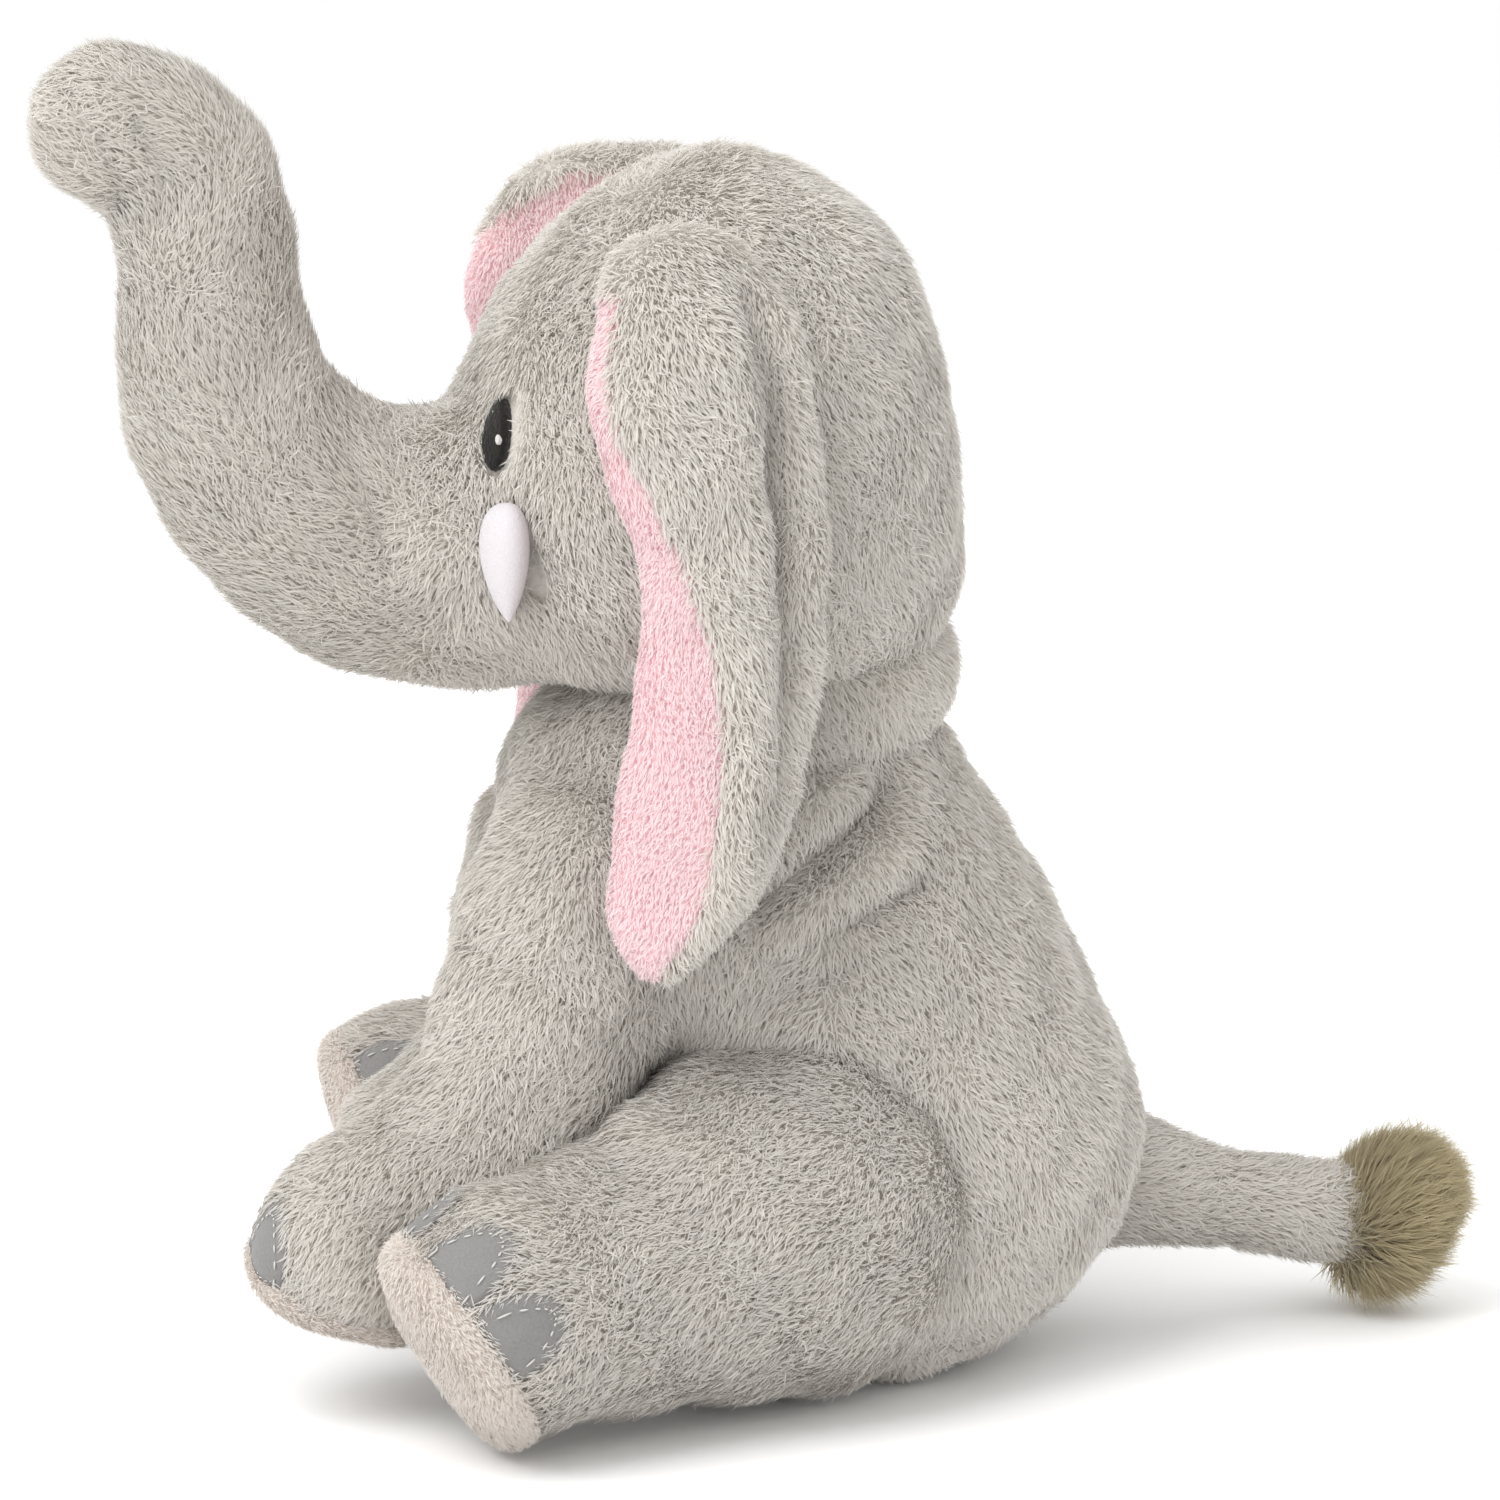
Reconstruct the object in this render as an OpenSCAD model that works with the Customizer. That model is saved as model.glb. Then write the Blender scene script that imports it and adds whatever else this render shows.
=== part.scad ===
// Seated stuffed elephant with a raised trunk.
// Row frame: the face looks along -Y, the toy's left side is +X, +Z is up.
// The origin is on the floor, under the middle of the toy's bounding box.

/* [Plush] */
// Thickness of the cover: backing cloth and pile together
cover_t = 8; // [6:0.5:10]
// Air left between a cover and its filling
fill_gap = 0.3; // [0.2:0.1:1]
// Air left where one body turns inside another
joint_gap = 0.7; // [0.5:0.1:1.5]

/* [Head] */
// Half the width of the head
head_w = 63; // [58:0.5:66]
// How far back from the origin the middle of the head lies (negative is forward)
head_y = -17; // [-22:1:-12]
// Half the depth of the head, from face to nape
head_d = 63.5; // [60:0.5:66]
// Height of the top of the head above the floor
head_top = 302; // [296:1:308]
// Height of the underside of the head above the floor
head_low = 172; // [170:1:176]
// Place of the ear-to-ear seam between the face and the back of the head
seam_y = -13; // [-25:1:0]

/* [Trunk] */
// Radius of the trunk at its root
trunk_r = 36; // [32:0.5:38]
// Height of the trunk's root above the floor
trunk_z = 207; // [204:1:210]
// Place of the trunk's root
trunk_y = -72; // [-75:1:-70]

/* [Forelegs] */
// Distance of each foreleg from the middle plane
foreleg_x = 31; // [31:0.5:34]
// Radius at the shoulder
shoulder_r = 30; // [26:0.5:30]
// Radius at the foot
forefoot_r = 27; // [22:0.5:28]
// Length from the shoulder's centre to the sole seam
foreleg_l = 110; // [100:1:114]
// Lean of the foreleg, from straight down towards the front
foreleg_lean = 35.5; // [30:0.5:40]

/* [Hind legs] */
// Distance of the hip disc from the middle plane
hip_x = 46; // [44:1:48]
// Radius of the thigh
thigh_r = 46; // [40:0.5:46]
// Radius at the foot
hindfoot_r = 31; // [26:0.5:31]
// Length from the middle of the thigh to the sole seam
hindleg_l = 103; // [95:1:106]
// Splay of the hind leg, from straight ahead towards the side
hindleg_splay = 27; // [20:1:30]

/* [Tail] */
// Radius of the tail's tube
tail_r = 14; // [11:0.5:14]
// Length of the tail's tube, from its root to the tuft
tail_l = 54; // [45:1:56]
// Largest radius of the tuft of long pile
tuft_r = 21; // [16:0.5:22]

/* [Small parts] */
// Thickness of the soles
sole_t = 6; // [4:0.5:8]
// Radius of a felt toenail
nail_r = 9; // [6:0.5:10]
// Thickness of the felt
felt_t = 1.6; // [1:0.1:2.5]
// Height of a tusk
tusk_h = 28; // [20:1:30]
// Largest radius of a tusk
tusk_r = 8; // [5:0.5:9]
// Height of an embroidered eye
eye_h = 17.5; // [12:0.5:20]
// Width of an embroidered eye
eye_w = 12; // [8:0.5:14]

/* [Hidden] */

plush = "#c3beb3";
pink = "#f2c9cf";
cream = "#dcd0c4";
felt = "#a3a0a0";
velour = "#e8e3e6";
black_thread = "#22211f";
white_thread = "#f7f7f4";
khaki = "#a8976a";
fibre = "#fbfbf8";
pouch = "#d9d4c8";

sides = 24;           // corners of a lofted ring
round_fn = 72;        // corners of a round profile, which the solids keep as true curves
big = 400;            // reach of a cutting block, past everything
squareness = 2.5;     // exponent of the head's and torso's rounded-square sections
neck = [0, -6, 170];  // centre of the neck, on the nod axis
neck_r = 27;
brow_relief = 14;     // upward turn of the room over the trunk, degrees
ear_gap = 0.9;        // air between an ear and its lining, which twist along their length
hip = [50, -4, 47];   // middle of the left thigh
shoulder = [foreleg_x, -50, 127];
tail_root = [0, 96, 35];
tail_dip = 8;         // slope of the tail below level, degrees
tail_ball = 16;       // radius of the tail's rounded root
tuft_l = 32.9;        // length of the tuft beyond the tube
belly_y = 6;          // place of the side seam between belly and back
seat_z = 7;           // height of the seam round the seat
torso_mid = 70;       // height towards which the torso's levels are drawn in
pellet_at = [0, 22, 30];
pellet_r = 30;
pellet_h = 24;
hindleg_lean = 81;    // from straight down to nearly level, degrees
sole_bevel = 1;       // step in at the edge of a cover where its sole starts
nail_spread = 48;     // turn from one toenail to the next, degrees
eye_at = [32, 239];   // distance from the middle plane and height of an eye
tusk_at = [45, 207];  // the same of a tusk
glint_r = 1.4;        // radius of the white stitches in an eye
stitch_lift = 0.4;    // air between the face and the embroidery

// Torso: height, front, back and half width of each level
torso_levels = [
  [0, -22, 24, 34], [5, -34, 44, 52], [13, -38, 60, 63], [26, -40, 78, 70],
  [42, -40, 89, 73], [58, -40, 94, 74], [80, -39, 87, 71], [102, -38, 77, 66],
  [124, -42, 65, 60], [142, -46, 54, 53], [151, -42, 45, 45], [157, -28, 28, 30]
];

// Trunk: place along Y and Z and radius at each station, from the root up to the curled tip,
// whose last stations lie on an arc
curl_r = 23;
curl = [-164, 288];
trunk_stations = concat(
  [
    [trunk_y, trunk_z, trunk_r], [-88, 206.5, 35], [-106, 211, 33], [-123, 223, 30.5],
    [-135, 241, 27.5], [-140, 262, 24.5], [-141, 277, 23]
  ],
  [for (t = [0:30:90]) [curl[0] + curl_r * cos(t), curl[1] + curl_r * sin(t), 22.5 - t / 40]]
);

// Legs: distance from the joint and radius; the hind leg is slimmer behind the foot
foreleg_stations = [[0, shoulder_r], [foreleg_l, forefoot_r]];
hindleg_stations = [
  [0, thigh_r], [0.3 * hindleg_l, 0.83 * thigh_r], [0.46 * hindleg_l, 0.7 * thigh_r],
  [0.62 * hindleg_l, 0.65 * thigh_r], [0.8 * hindleg_l, hindfoot_r], [hindleg_l, hindfoot_r]
];

// Left ear: height, centre X and Y, half chord, half thickness and turn of the chord
ear_levels = [
  [289, 68, -28, 8, 3, 4], [282, 74, -31, 20, 5, 8], [268, 77, -33, 28, 6.5, 10],
  [245, 78, -33, 31, 7, 10], [218, 79, -28, 28, 7, 12], [190, 82, -25, 27, 7.5, 16],
  [165, 86, -29, 28, 8, 20], [142, 88, -34, 24, 8, 24], [122, 88, -39, 16, 7, 24],
  [110, 86, -44, 6, 4, 20]
];

// ---------- shapes by formula ----------

// Sign-keeping power, for rounded-square sections
function spow(v, p) = sign(v) * pow(abs(v), p);

// Point at angle a on a rounded square of half sizes rx and ry
function squircle(a, rx, ry) =
  [rx * spow(cos(a), 2 / squareness), ry * spow(sin(a), 2 / squareness)];

// Level ring of a lofted solid between front y0 and back y1, half width w, at height z
function level_ring(z, y0, y1, w) = [
  for (i = [0:sides - 1])
    let (p = squircle(360 * i / sides, w, (y1 - y0) / 2)) [p[0], p[1] + (y0 + y1) / 2, z]
];

// Round ring in a plane across a path in the YZ plane, whose direction is dir degrees from +Y
function path_ring(y, z, r, dir) = [
  for (i = [0:sides - 1])
    let (a = 360 * i / sides) [r * cos(a), y + r * sin(a) * sin(dir), z - r * sin(a) * cos(dir)]
];

// Catmull-Rom blend of four values
function curve(a, b, c, d, t) =
  0.5 * (2 * b + (c - a) * t + (2 * a - 5 * b + 4 * c - d) * t * t
  + (3 * b - a - 3 * c + d) * t * t * t);

// Station at place u (0 to the number of spans) along a list of stations
function along(list, u) =
  let (last = len(list) - 1, i = min(floor(u), last - 1), t = u - i)
  curve(list[max(i - 1, 0)], list[i], list[i + 1], list[min(i + 2, last)], t);

// Direction of travel at place u, degrees from +Y
function heading(list, u) =
  let (e = 0.05, a = along(list, max(u - e, 0)), b = along(list, min(u + e, len(list) - 1)))
  atan2(b[1] - a[1], b[0] - a[0]);

// Half profile of an egg, from its low pole to its high one
function egg(r, h, n) = [
  for (i = [0:n]) let (t = -90 + 180 * i / n)
    [r * spow(cos(t), 0.85), h * spow(sin(t), 0.85)]
];

// The same as a flat shape to turn about its axis
module half_egg(r, h) {
  intersection() {
    polygon(egg(r, h, 18));
    translate([0, -2 * h]) square([2 * r, 4 * h]);
  }
}

// Closed solid through a list of rings with the same number of points
module loft(rings) {
  n = len(rings[0]);
  m = len(rings);
  sides_list = [
    for (j = [0:m - 2], i = [0:n - 1])
      each [
        [j * n + i, (j + 1) * n + i, j * n + (i + 1) % n],
        [j * n + (i + 1) % n, (j + 1) * n + i, (j + 1) * n + (i + 1) % n]
      ]
  ];
  caps = [[for (i = [0:n - 1]) i], [for (i = [0:n - 1]) m * n - 1 - i]];
  polyhedron(points = [for (r = rings) each r], faces = concat(sides_list, caps));
}

// The left piece as it is, or its mirror image on the right
module mirrored(side) {
  if (side < 0) {
    mirror([1, 0, 0]) children();
  } else {
    children();
  }
}

// Puts children at a point, with their +Z turned to lean degrees from straight down,
// towards the front, and then splay degrees to the side
module limb_axis(at, lean, splay) {
  translate(at) rotate([0, 0, splay]) rotate([180 - lean, 0, 0]) children();
}

// ---------- head ----------

// Head solid, drawn in by inset
module head_solid(inset) {
  mid = (head_top + head_low) / 2;
  half = (head_top - head_low) / 2 - inset;
  loft([
    for (t = [-84:14:84])
      let (s = spow(cos(t), 0.8), z = mid + half * spow(sin(t), 0.9) / spow(sin(84), 0.9))
      level_ring(z, head_y - (head_d - inset) * s, head_y + (head_d - inset) * s,
        (head_w - inset) * s)
  ]);
}

// Room that the trunk's ball root and the fold of cloth above it need: a bowl that widens
// a little towards the front
module trunk_room() {
  bowl_r = trunk_r + joint_gap;
  translate([0, trunk_y, trunk_z]) rotate([90 - brow_relief, 0, 0])
    rotate_extrude($fn = round_fn) polygon(concat(
      [for (t = [-90:9:0]) [bowl_r * cos(t), bowl_r * sin(t)]],
      [[bowl_r * 1.06, trunk_r], [0, trunk_r]]
    ));
}

module head_shell() {
  difference() {
    head_solid(0);
    head_solid(cover_t);
    translate(neck) sphere(neck_r + joint_gap, $fn = round_fn);
    trunk_room();
  }
}

module head_face_panel() {
  color(plush) intersection() {
    head_shell();
    translate([-big / 2, seam_y - big, 0]) cube(big);
  }
}

module head_back_panel() {
  color(plush) intersection() {
    head_shell();
    translate([-big / 2, seam_y, 0]) cube(big);
  }
}

module head_stuffing() {
  color(fibre) difference() {
    head_solid(cover_t + fill_gap);
    translate(neck) sphere(neck_r + joint_gap, $fn = round_fn);
    trunk_room();
  }
}

module neck_stuffing() {
  color(fibre) translate(neck) sphere(neck_r, $fn = round_fn);
}

// ---------- trunk ----------

// Trunk solid with a ball root and a round tip, drawn in by inset
module trunk_solid(inset) {
  last = len(trunk_stations) - 1;
  end = trunk_stations[last];
  end_dir = heading(trunk_stations, last);
  root_r = trunk_r - inset;
  tip_r = end[2] - inset;
  loft(concat(
    [for (t = [-78:26:-26]) path_ring(trunk_y - root_r * sin(t), trunk_z, root_r * cos(t), 180)],
    [for (u = [0:0.5:last])
      let (p = along(trunk_stations, u))
      path_ring(p[0], p[1], p[2] - inset, u == 0 ? 180 : heading(trunk_stations, u))],
    [for (t = [25:25:75])
      path_ring(end[0] + tip_r * sin(t) * cos(end_dir), end[1] + tip_r * sin(t) * sin(end_dir),
        tip_r * cos(t), end_dir)]
  ));
}

module trunk_cover() {
  color(plush) difference() {
    trunk_solid(0);
    trunk_solid(cover_t);
    translate([0, trunk_y + trunk_r - cover_t, trunk_z]) rotate([90, 0, 0])
      cylinder(r = trunk_r / 2, h = 3 * cover_t, center = true, $fn = round_fn);
  }
}

module trunk_stuffing() {
  color(fibre) trunk_solid(cover_t + fill_gap);
}

// ---------- ears ----------

// Half of a lens-shaped ear section: side 1 is the outer half, -1 the lining half
function ear_ring(level, side, thick) = [
  for (i = [0:sides / 2])
    let (
      a = 180 * i / (sides / 2),
      c = level[3] * cos(a),
      t = side * (ear_gap / 2 + thick * level[4] * sin(a)),
      turn = level[5]
    )
    [level[1] + t * cos(turn) - c * sin(turn), level[2] + t * sin(turn) + c * cos(turn), level[0]]
];

module ear_outer(side) {
  color(plush) mirrored(side) loft([for (l = ear_levels) ear_ring(l, 1, 1.1)]);
}

module ear_lining(side) {
  color(pink) mirrored(side) loft([for (l = ear_levels) [for (i = [sides / 2:-1:0])
    ear_ring(l, -1, 0.6)[i]]]);
}

// ---------- eyes and tusks ----------

// Point and outward turn on the head's widest section, x from the middle plane
function face_y(x) = head_y - head_d * pow(1 - pow(x / head_w, squareness), 1 / squareness);
function face_turn(x) =
  atan2(pow(x / head_w, squareness - 1) / head_w,
    pow((head_y - face_y(x)) / head_d, squareness - 1) / head_d);

// Places children flat on the face, +Z pointing outwards and +Y up
module on_face(at, lift) {
  turn = face_turn(at[0]);
  translate([at[0] + lift * sin(turn), face_y(at[0]) - lift * cos(turn), at[1]])
    rotate([90, 0, turn]) children();
}

// Upright oval of width w and height h
module oval(w, h) {
  hull() {
    for (s = [-1, 1]) {
      translate([0, s * (h - w) / 2]) circle(d = w, $fn = 32);
    }
  }
}

module eye(side) {
  color(black_thread) mirrored(side) on_face(eye_at, stitch_lift) linear_extrude(felt_t)
    difference() {
      oval(eye_w, eye_h);
      translate([-eye_w / 5, -eye_h / 5]) circle(r = glint_r + 0.1, $fn = 32);
    }
}

module eye_glint(side) {
  color(white_thread) mirrored(side) on_face(eye_at, stitch_lift)
    translate([-eye_w / 5, -eye_h / 5, 0]) cylinder(r = glint_r, h = felt_t + 0.2, $fn = round_fn);
}

module tusk(side) {
  color(velour) mirrored(side) on_face(tusk_at, tusk_r + fill_gap + stitch_lift)
    rotate([90, 0, 0]) rotate_extrude($fn = round_fn) half_egg(tusk_r, tusk_h / 2);
}

// ---------- torso ----------

// Torso solid, drawn in by inset
module torso_solid(inset) {
  rise = torso_levels[len(torso_levels) - 1][0] - torso_mid;
  loft([
    for (l = torso_levels)
      let (reach = l[0] > torso_mid ? rise : torso_mid, squeeze = (reach - inset) / reach)
      level_ring(torso_mid + (l[0] - torso_mid) * squeeze, l[1] + inset, l[2] - inset,
        l[3] - inset)
  ]);
}

// Space that the neck, legs and tail keep free in the torso
module torso_sockets() {
  translate(neck) sphere(neck_r + fill_gap, $fn = round_fn);
  translate(tail_root) sphere(tail_ball + joint_gap, $fn = round_fn);
  for (side = [-1, 1]) {
    translate([side * (hip_x + big / 2), hip[1], hip[2]]) rotate([0, 90, 0])
      cylinder(r = thigh_r + 2, h = big, center = true, $fn = round_fn);
    mirrored(side) foreleg_room();
  }
}

// The foreleg's own outline with the joint's air round it
module foreleg_room() {
  limb_axis(shoulder, foreleg_lean, 0) {
    sphere(shoulder_r + joint_gap, $fn = round_fn);
    cylinder(r1 = shoulder_r + joint_gap, r2 = forefoot_r + joint_gap, h = foreleg_l,
      $fn = round_fn);
  }
}

module torso_shell() {
  difference() {
    torso_solid(0);
    torso_solid(cover_t);
    torso_sockets();
  }
}

module belly_panel() {
  color(plush) intersection() {
    torso_shell();
    translate([-big / 2, belly_y - big, seat_z]) cube(big);
  }
}

module back_panel() {
  color(plush) intersection() {
    torso_shell();
    translate([-big / 2, belly_y, seat_z]) cube(big);
  }
}

module seat_panel() {
  color(plush) intersection() {
    torso_shell();
    translate([-big / 2, -big / 2, seat_z - big]) cube(big);
  }
}

module torso_stuffing() {
  color(fibre) difference() {
    torso_solid(cover_t + fill_gap);
    torso_sockets();
    translate(pellet_at) rotate_extrude($fn = round_fn)
      half_egg(pellet_r + fill_gap, pellet_h / 2 + fill_gap);
  }
}

module pellet_bag() {
  color(pouch) translate(pellet_at) rotate_extrude($fn = round_fn)
    half_egg(pellet_r, pellet_h / 2);
}

// ---------- legs ----------

// Half outline of a leg along its own axis: a ball about the joint up to arc_end degrees past
// its widest, then the stations [distance, radius] down to the foot, drawn in by inset and
// running on by extra past the sole seam
module leg_profile(stations, arc_end, inset, extra) {
  r0 = stations[0][1] - inset;
  last = len(stations) - 1;
  foot = stations[last];
  bevel = extra > 0 ? 0 : sole_bevel;
  polygon(concat(
    [for (i = [0:12]) let (t = -90 + (90 + arc_end) * i / 12) [r0 * cos(t), r0 * sin(t)]],
    [for (i = [1:last])
      [stations[i][1] - inset, stations[i][0] - (i == last ? 4 * sole_bevel : 0)]],
    [[foot[1] - inset - bevel, foot[0] + extra], [0, foot[0] + extra]]
  ));
}

module leg_cover(stations, arc_end) {
  difference() {
    rotate_extrude($fn = round_fn) leg_profile(stations, arc_end, 0, 0);
    rotate_extrude($fn = round_fn) leg_profile(stations, arc_end, cover_t, 1);
  }
}

module leg_filling(stations, arc_end) {
  rotate_extrude($fn = round_fn) leg_profile(stations, arc_end, cover_t + fill_gap, -fill_gap);
}

// Padded sole on the end of a leg
module sole(foot_r) {
  edge_r = sole_t - sole_bevel;
  rotate_extrude($fn = round_fn) polygon(concat(
    [[0, 0.1], [foot_r - sole_bevel, 0.1]],
    [for (t = [0:15:90])
      [foot_r - sole_t + edge_r * cos(t), sole_bevel + edge_r * sin(t)]],
    [[0, sole_t]]
  ));
}

// Three felt nails in an arc on the foot, just above the sole seam
module nails(foot_r, length) {
  for (turn = [-nail_spread, 0, nail_spread]) {
    rotate([0, 0, turn]) translate([0, foot_r + 0.8, length - nail_r - sole_bevel])
      rotate([-90, 0, 0])
      cylinder(r = nail_r, h = felt_t, $fn = round_fn);
  }
}

module at_foreleg(side) {
  mirrored(side) limb_axis(shoulder, foreleg_lean, 0) children();
}

module foreleg_cover(side) {
  color(plush) at_foreleg(side) leg_cover(foreleg_stations, 0);
}

module foreleg_stuffing(side) {
  color(fibre) at_foreleg(side) leg_filling(foreleg_stations, 0);
}

module foreleg_sole(side) {
  color(cream) at_foreleg(side) translate([0, 0, foreleg_l]) sole(forefoot_r);
}

module foreleg_nails(side) {
  color(felt) at_foreleg(side) nails(forefoot_r, foreleg_l);
}

module at_hindleg(side) {
  mirrored(side) limb_axis(hip, hindleg_lean, hindleg_splay) children();
}

// Keeps what lies outside the hip disc
module outside_hip(side) {
  intersection() {
    children();
    mirrored(side) translate([hip_x + joint_gap, -big / 2, -big / 2]) cube(big);
  }
}

module hindleg_cover(side) {
  color(plush) outside_hip(side) at_hindleg(side) leg_cover(hindleg_stations, 20);
}

module hindleg_stuffing(side) {
  color(fibre) outside_hip(side) at_hindleg(side) leg_filling(hindleg_stations, 20);
}

module hindleg_sole(side) {
  color(cream) at_hindleg(side) translate([0, 0, hindleg_l]) sole(hindfoot_r);
}

module hindleg_nails(side) {
  color(felt) at_hindleg(side) nails(hindfoot_r, hindleg_l);
}

// ---------- tail ----------

module at_tail() {
  translate(tail_root) rotate([-90 - tail_dip, 0, 0]) children();
}

module tail_profile(inset, extra) {
  r0 = tail_ball - inset;
  polygon(concat(
    [for (i = [0:10]) let (t = -90 + 15 * i) if (t <= 28) [r0 * cos(t), r0 * sin(t)]],
    [[tail_r - inset, tail_ball], [tail_r - inset - 1, tail_l + extra], [0, tail_l + extra]]
  ));
}

module tail_cover() {
  color(plush) at_tail() difference() {
    rotate_extrude($fn = round_fn) tail_profile(0, 0);
    rotate_extrude($fn = round_fn) tail_profile(cover_t, 1);
  }
}

module tail_stuffing() {
  color(fibre) at_tail() rotate_extrude($fn = round_fn) tail_profile(cover_t + fill_gap, 0);
}

module tail_tuft() {
  color(khaki) at_tail() translate([0, 0, tail_l + 0.2]) rotate_extrude($fn = round_fn)
    polygon([[0, 0], [tail_r - 1, 0], [tuft_r - 2, tuft_l * 0.3], [tuft_r, tuft_l * 0.55],
      [tuft_r - 1, tuft_l * 0.8], [tuft_r * 0.7, tuft_l], [0, tuft_l]]);
}

head_face_panel();
head_back_panel();
head_stuffing();
neck_stuffing();
trunk_cover();
trunk_stuffing();
ear_outer(1);  // ear_outer_left
ear_outer(-1);  // ear_outer_right
ear_lining(1);  // ear_lining_left
ear_lining(-1);  // ear_lining_right
eye(1);  // eye_left
eye(-1);  // eye_right
eye_glint(1);  // eye_glint_left
eye_glint(-1);  // eye_glint_right
tusk(1);  // tusk_left
tusk(-1);  // tusk_right
belly_panel();
back_panel();
seat_panel();
torso_stuffing();
pellet_bag();
foreleg_cover(1);  // foreleg_cover_left
foreleg_cover(-1);  // foreleg_cover_right
foreleg_stuffing(1);  // foreleg_stuffing_left
foreleg_stuffing(-1);  // foreleg_stuffing_right
foreleg_sole(1);  // foreleg_sole_left
foreleg_sole(-1);  // foreleg_sole_right
foreleg_nails(1);  // foreleg_nails_left
foreleg_nails(-1);  // foreleg_nails_right
hindleg_cover(1);  // hindleg_cover_left
hindleg_cover(-1);  // hindleg_cover_right
hindleg_stuffing(1);  // hindleg_stuffing_left
hindleg_stuffing(-1);  // hindleg_stuffing_right
hindleg_sole(1);  // hindleg_sole_left
hindleg_sole(-1);  // hindleg_sole_right
hindleg_nails(1);  // hindleg_nails_left
hindleg_nails(-1);  // hindleg_nails_right
tail_cover();
tail_stuffing();
tail_tuft();
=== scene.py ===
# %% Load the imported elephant
import math

import bmesh
import bpy
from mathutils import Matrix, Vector
import numpy as np


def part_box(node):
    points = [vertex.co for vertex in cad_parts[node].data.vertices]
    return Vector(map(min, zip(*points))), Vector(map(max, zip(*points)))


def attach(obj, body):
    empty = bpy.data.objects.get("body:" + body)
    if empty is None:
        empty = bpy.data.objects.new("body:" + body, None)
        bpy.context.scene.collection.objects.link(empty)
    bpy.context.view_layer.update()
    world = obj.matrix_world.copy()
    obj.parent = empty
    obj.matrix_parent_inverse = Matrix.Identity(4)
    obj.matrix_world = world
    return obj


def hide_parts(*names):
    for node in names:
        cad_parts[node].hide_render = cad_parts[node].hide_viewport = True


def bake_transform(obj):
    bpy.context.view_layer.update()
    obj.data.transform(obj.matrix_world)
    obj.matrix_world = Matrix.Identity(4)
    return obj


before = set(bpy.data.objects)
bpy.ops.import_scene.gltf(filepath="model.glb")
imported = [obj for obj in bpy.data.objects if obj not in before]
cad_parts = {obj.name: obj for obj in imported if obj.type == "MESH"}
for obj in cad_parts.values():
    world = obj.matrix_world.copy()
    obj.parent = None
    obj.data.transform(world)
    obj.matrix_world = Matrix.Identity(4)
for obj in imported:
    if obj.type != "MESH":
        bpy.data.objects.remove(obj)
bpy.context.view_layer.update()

MM = 0.001
SIDES = ((1, "left"), (-1, "right"))

# %% [markdown]
# ## Camera, light and floor
# The toy is seen from its left and a little from the front, through a long lens, so its near ear and
# its far ear come out almost the same size. A big soft lamp high in front, a weaker one behind the
# camera and a bright room are what a catalogue studio has: they leave only soft, pale shadows.
# The camera is placed by its direction and its distance from a point inside the chest.

# %% Camera
AZIMUTH, ELEVATION, DISTANCE = math.radians(79), math.radians(10), 1.6
AIM = np.array([0.0, -0.0065, 0.1526])
LENS = 153.6


def away(azimuth, elevation):
    """Unit vector from the toy towards a viewer: azimuth turns from the front to the left side."""
    level = math.cos(elevation)
    return np.array([math.sin(azimuth) * level, -math.cos(azimuth) * level, math.sin(elevation)])


def look_at(thing, place, aim):
    """Places a camera or lamp so that its -Z axis points at aim and its top stays up."""
    thing.location = place
    thing.rotation_euler = Vector(aim - place).to_track_quat("-Z", "Y").to_euler()


def in_scene(name, data):
    thing = bpy.data.objects.new(name, data)
    bpy.context.scene.collection.objects.link(thing)
    return thing


camera = in_scene("camera", bpy.data.cameras.new("camera"))
camera.data.lens = LENS
camera.data.sensor_width = 36
look_at(camera, AIM + DISTANCE * away(AZIMUTH, ELEVATION), AIM)
bpy.context.scene.camera = camera
print("camera at", [round(v, 3) for v in camera.location])

# %% Lamps and room
LAMPS = {  # azimuth, elevation, distance in metres, size in metres, watts
    "key": (28, 50, 1.6, 1.2, 17),
    "fill": (100, 20, 1.8, 1.5, 2.5),
    "back": (215, 45, 1.7, 1.2, 3),
}
for name, (azimuth, elevation, distance, size, watts) in LAMPS.items():
    lamp = in_scene(name, bpy.data.lights.new(name, "AREA"))
    lamp.data.size = size
    lamp.data.energy = watts
    look_at(lamp, AIM + distance * away(math.radians(azimuth), math.radians(elevation)), AIM)
room = bpy.data.worlds.new("room")
room.use_nodes = True
walls = room.node_tree.nodes["Background"].inputs
walls["Color"].default_value = (1, 1, 1, 1)
walls["Strength"].default_value = 1.0
bpy.context.scene.world = room
bpy.context.scene.view_settings.view_transform = "Standard"
print("lamps:", *LAMPS)

# %% [markdown]
# ## Writing materials as sums
# A plush finish is mostly arithmetic on a few fields: where a fibre is along its length, which tuft
# it belongs to, how coarse the grain is there. Node graphs hide that arithmetic, so a small class
# wraps a socket and lets Python's own operators add the Math nodes.

# %% Wires and finishes


class Wire:
    """One output socket of a material. An expression on wires adds its Math nodes."""

    def __init__(self, finish, socket):
        self.finish = finish
        self.socket = socket

    def math(self, operation, *values):
        return self.finish.node("ShaderNodeMath", dict(operation=operation), *values)

    def __add__(self, other):
        return self.math("ADD", self, other)

    def __sub__(self, other):
        return self.math("SUBTRACT", self, other)

    def __rsub__(self, other):
        return self.math("SUBTRACT", other, self)

    def __mul__(self, other):
        return self.math("MULTIPLY", self, other)

    __radd__ = __add__
    __rmul__ = __mul__


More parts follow.
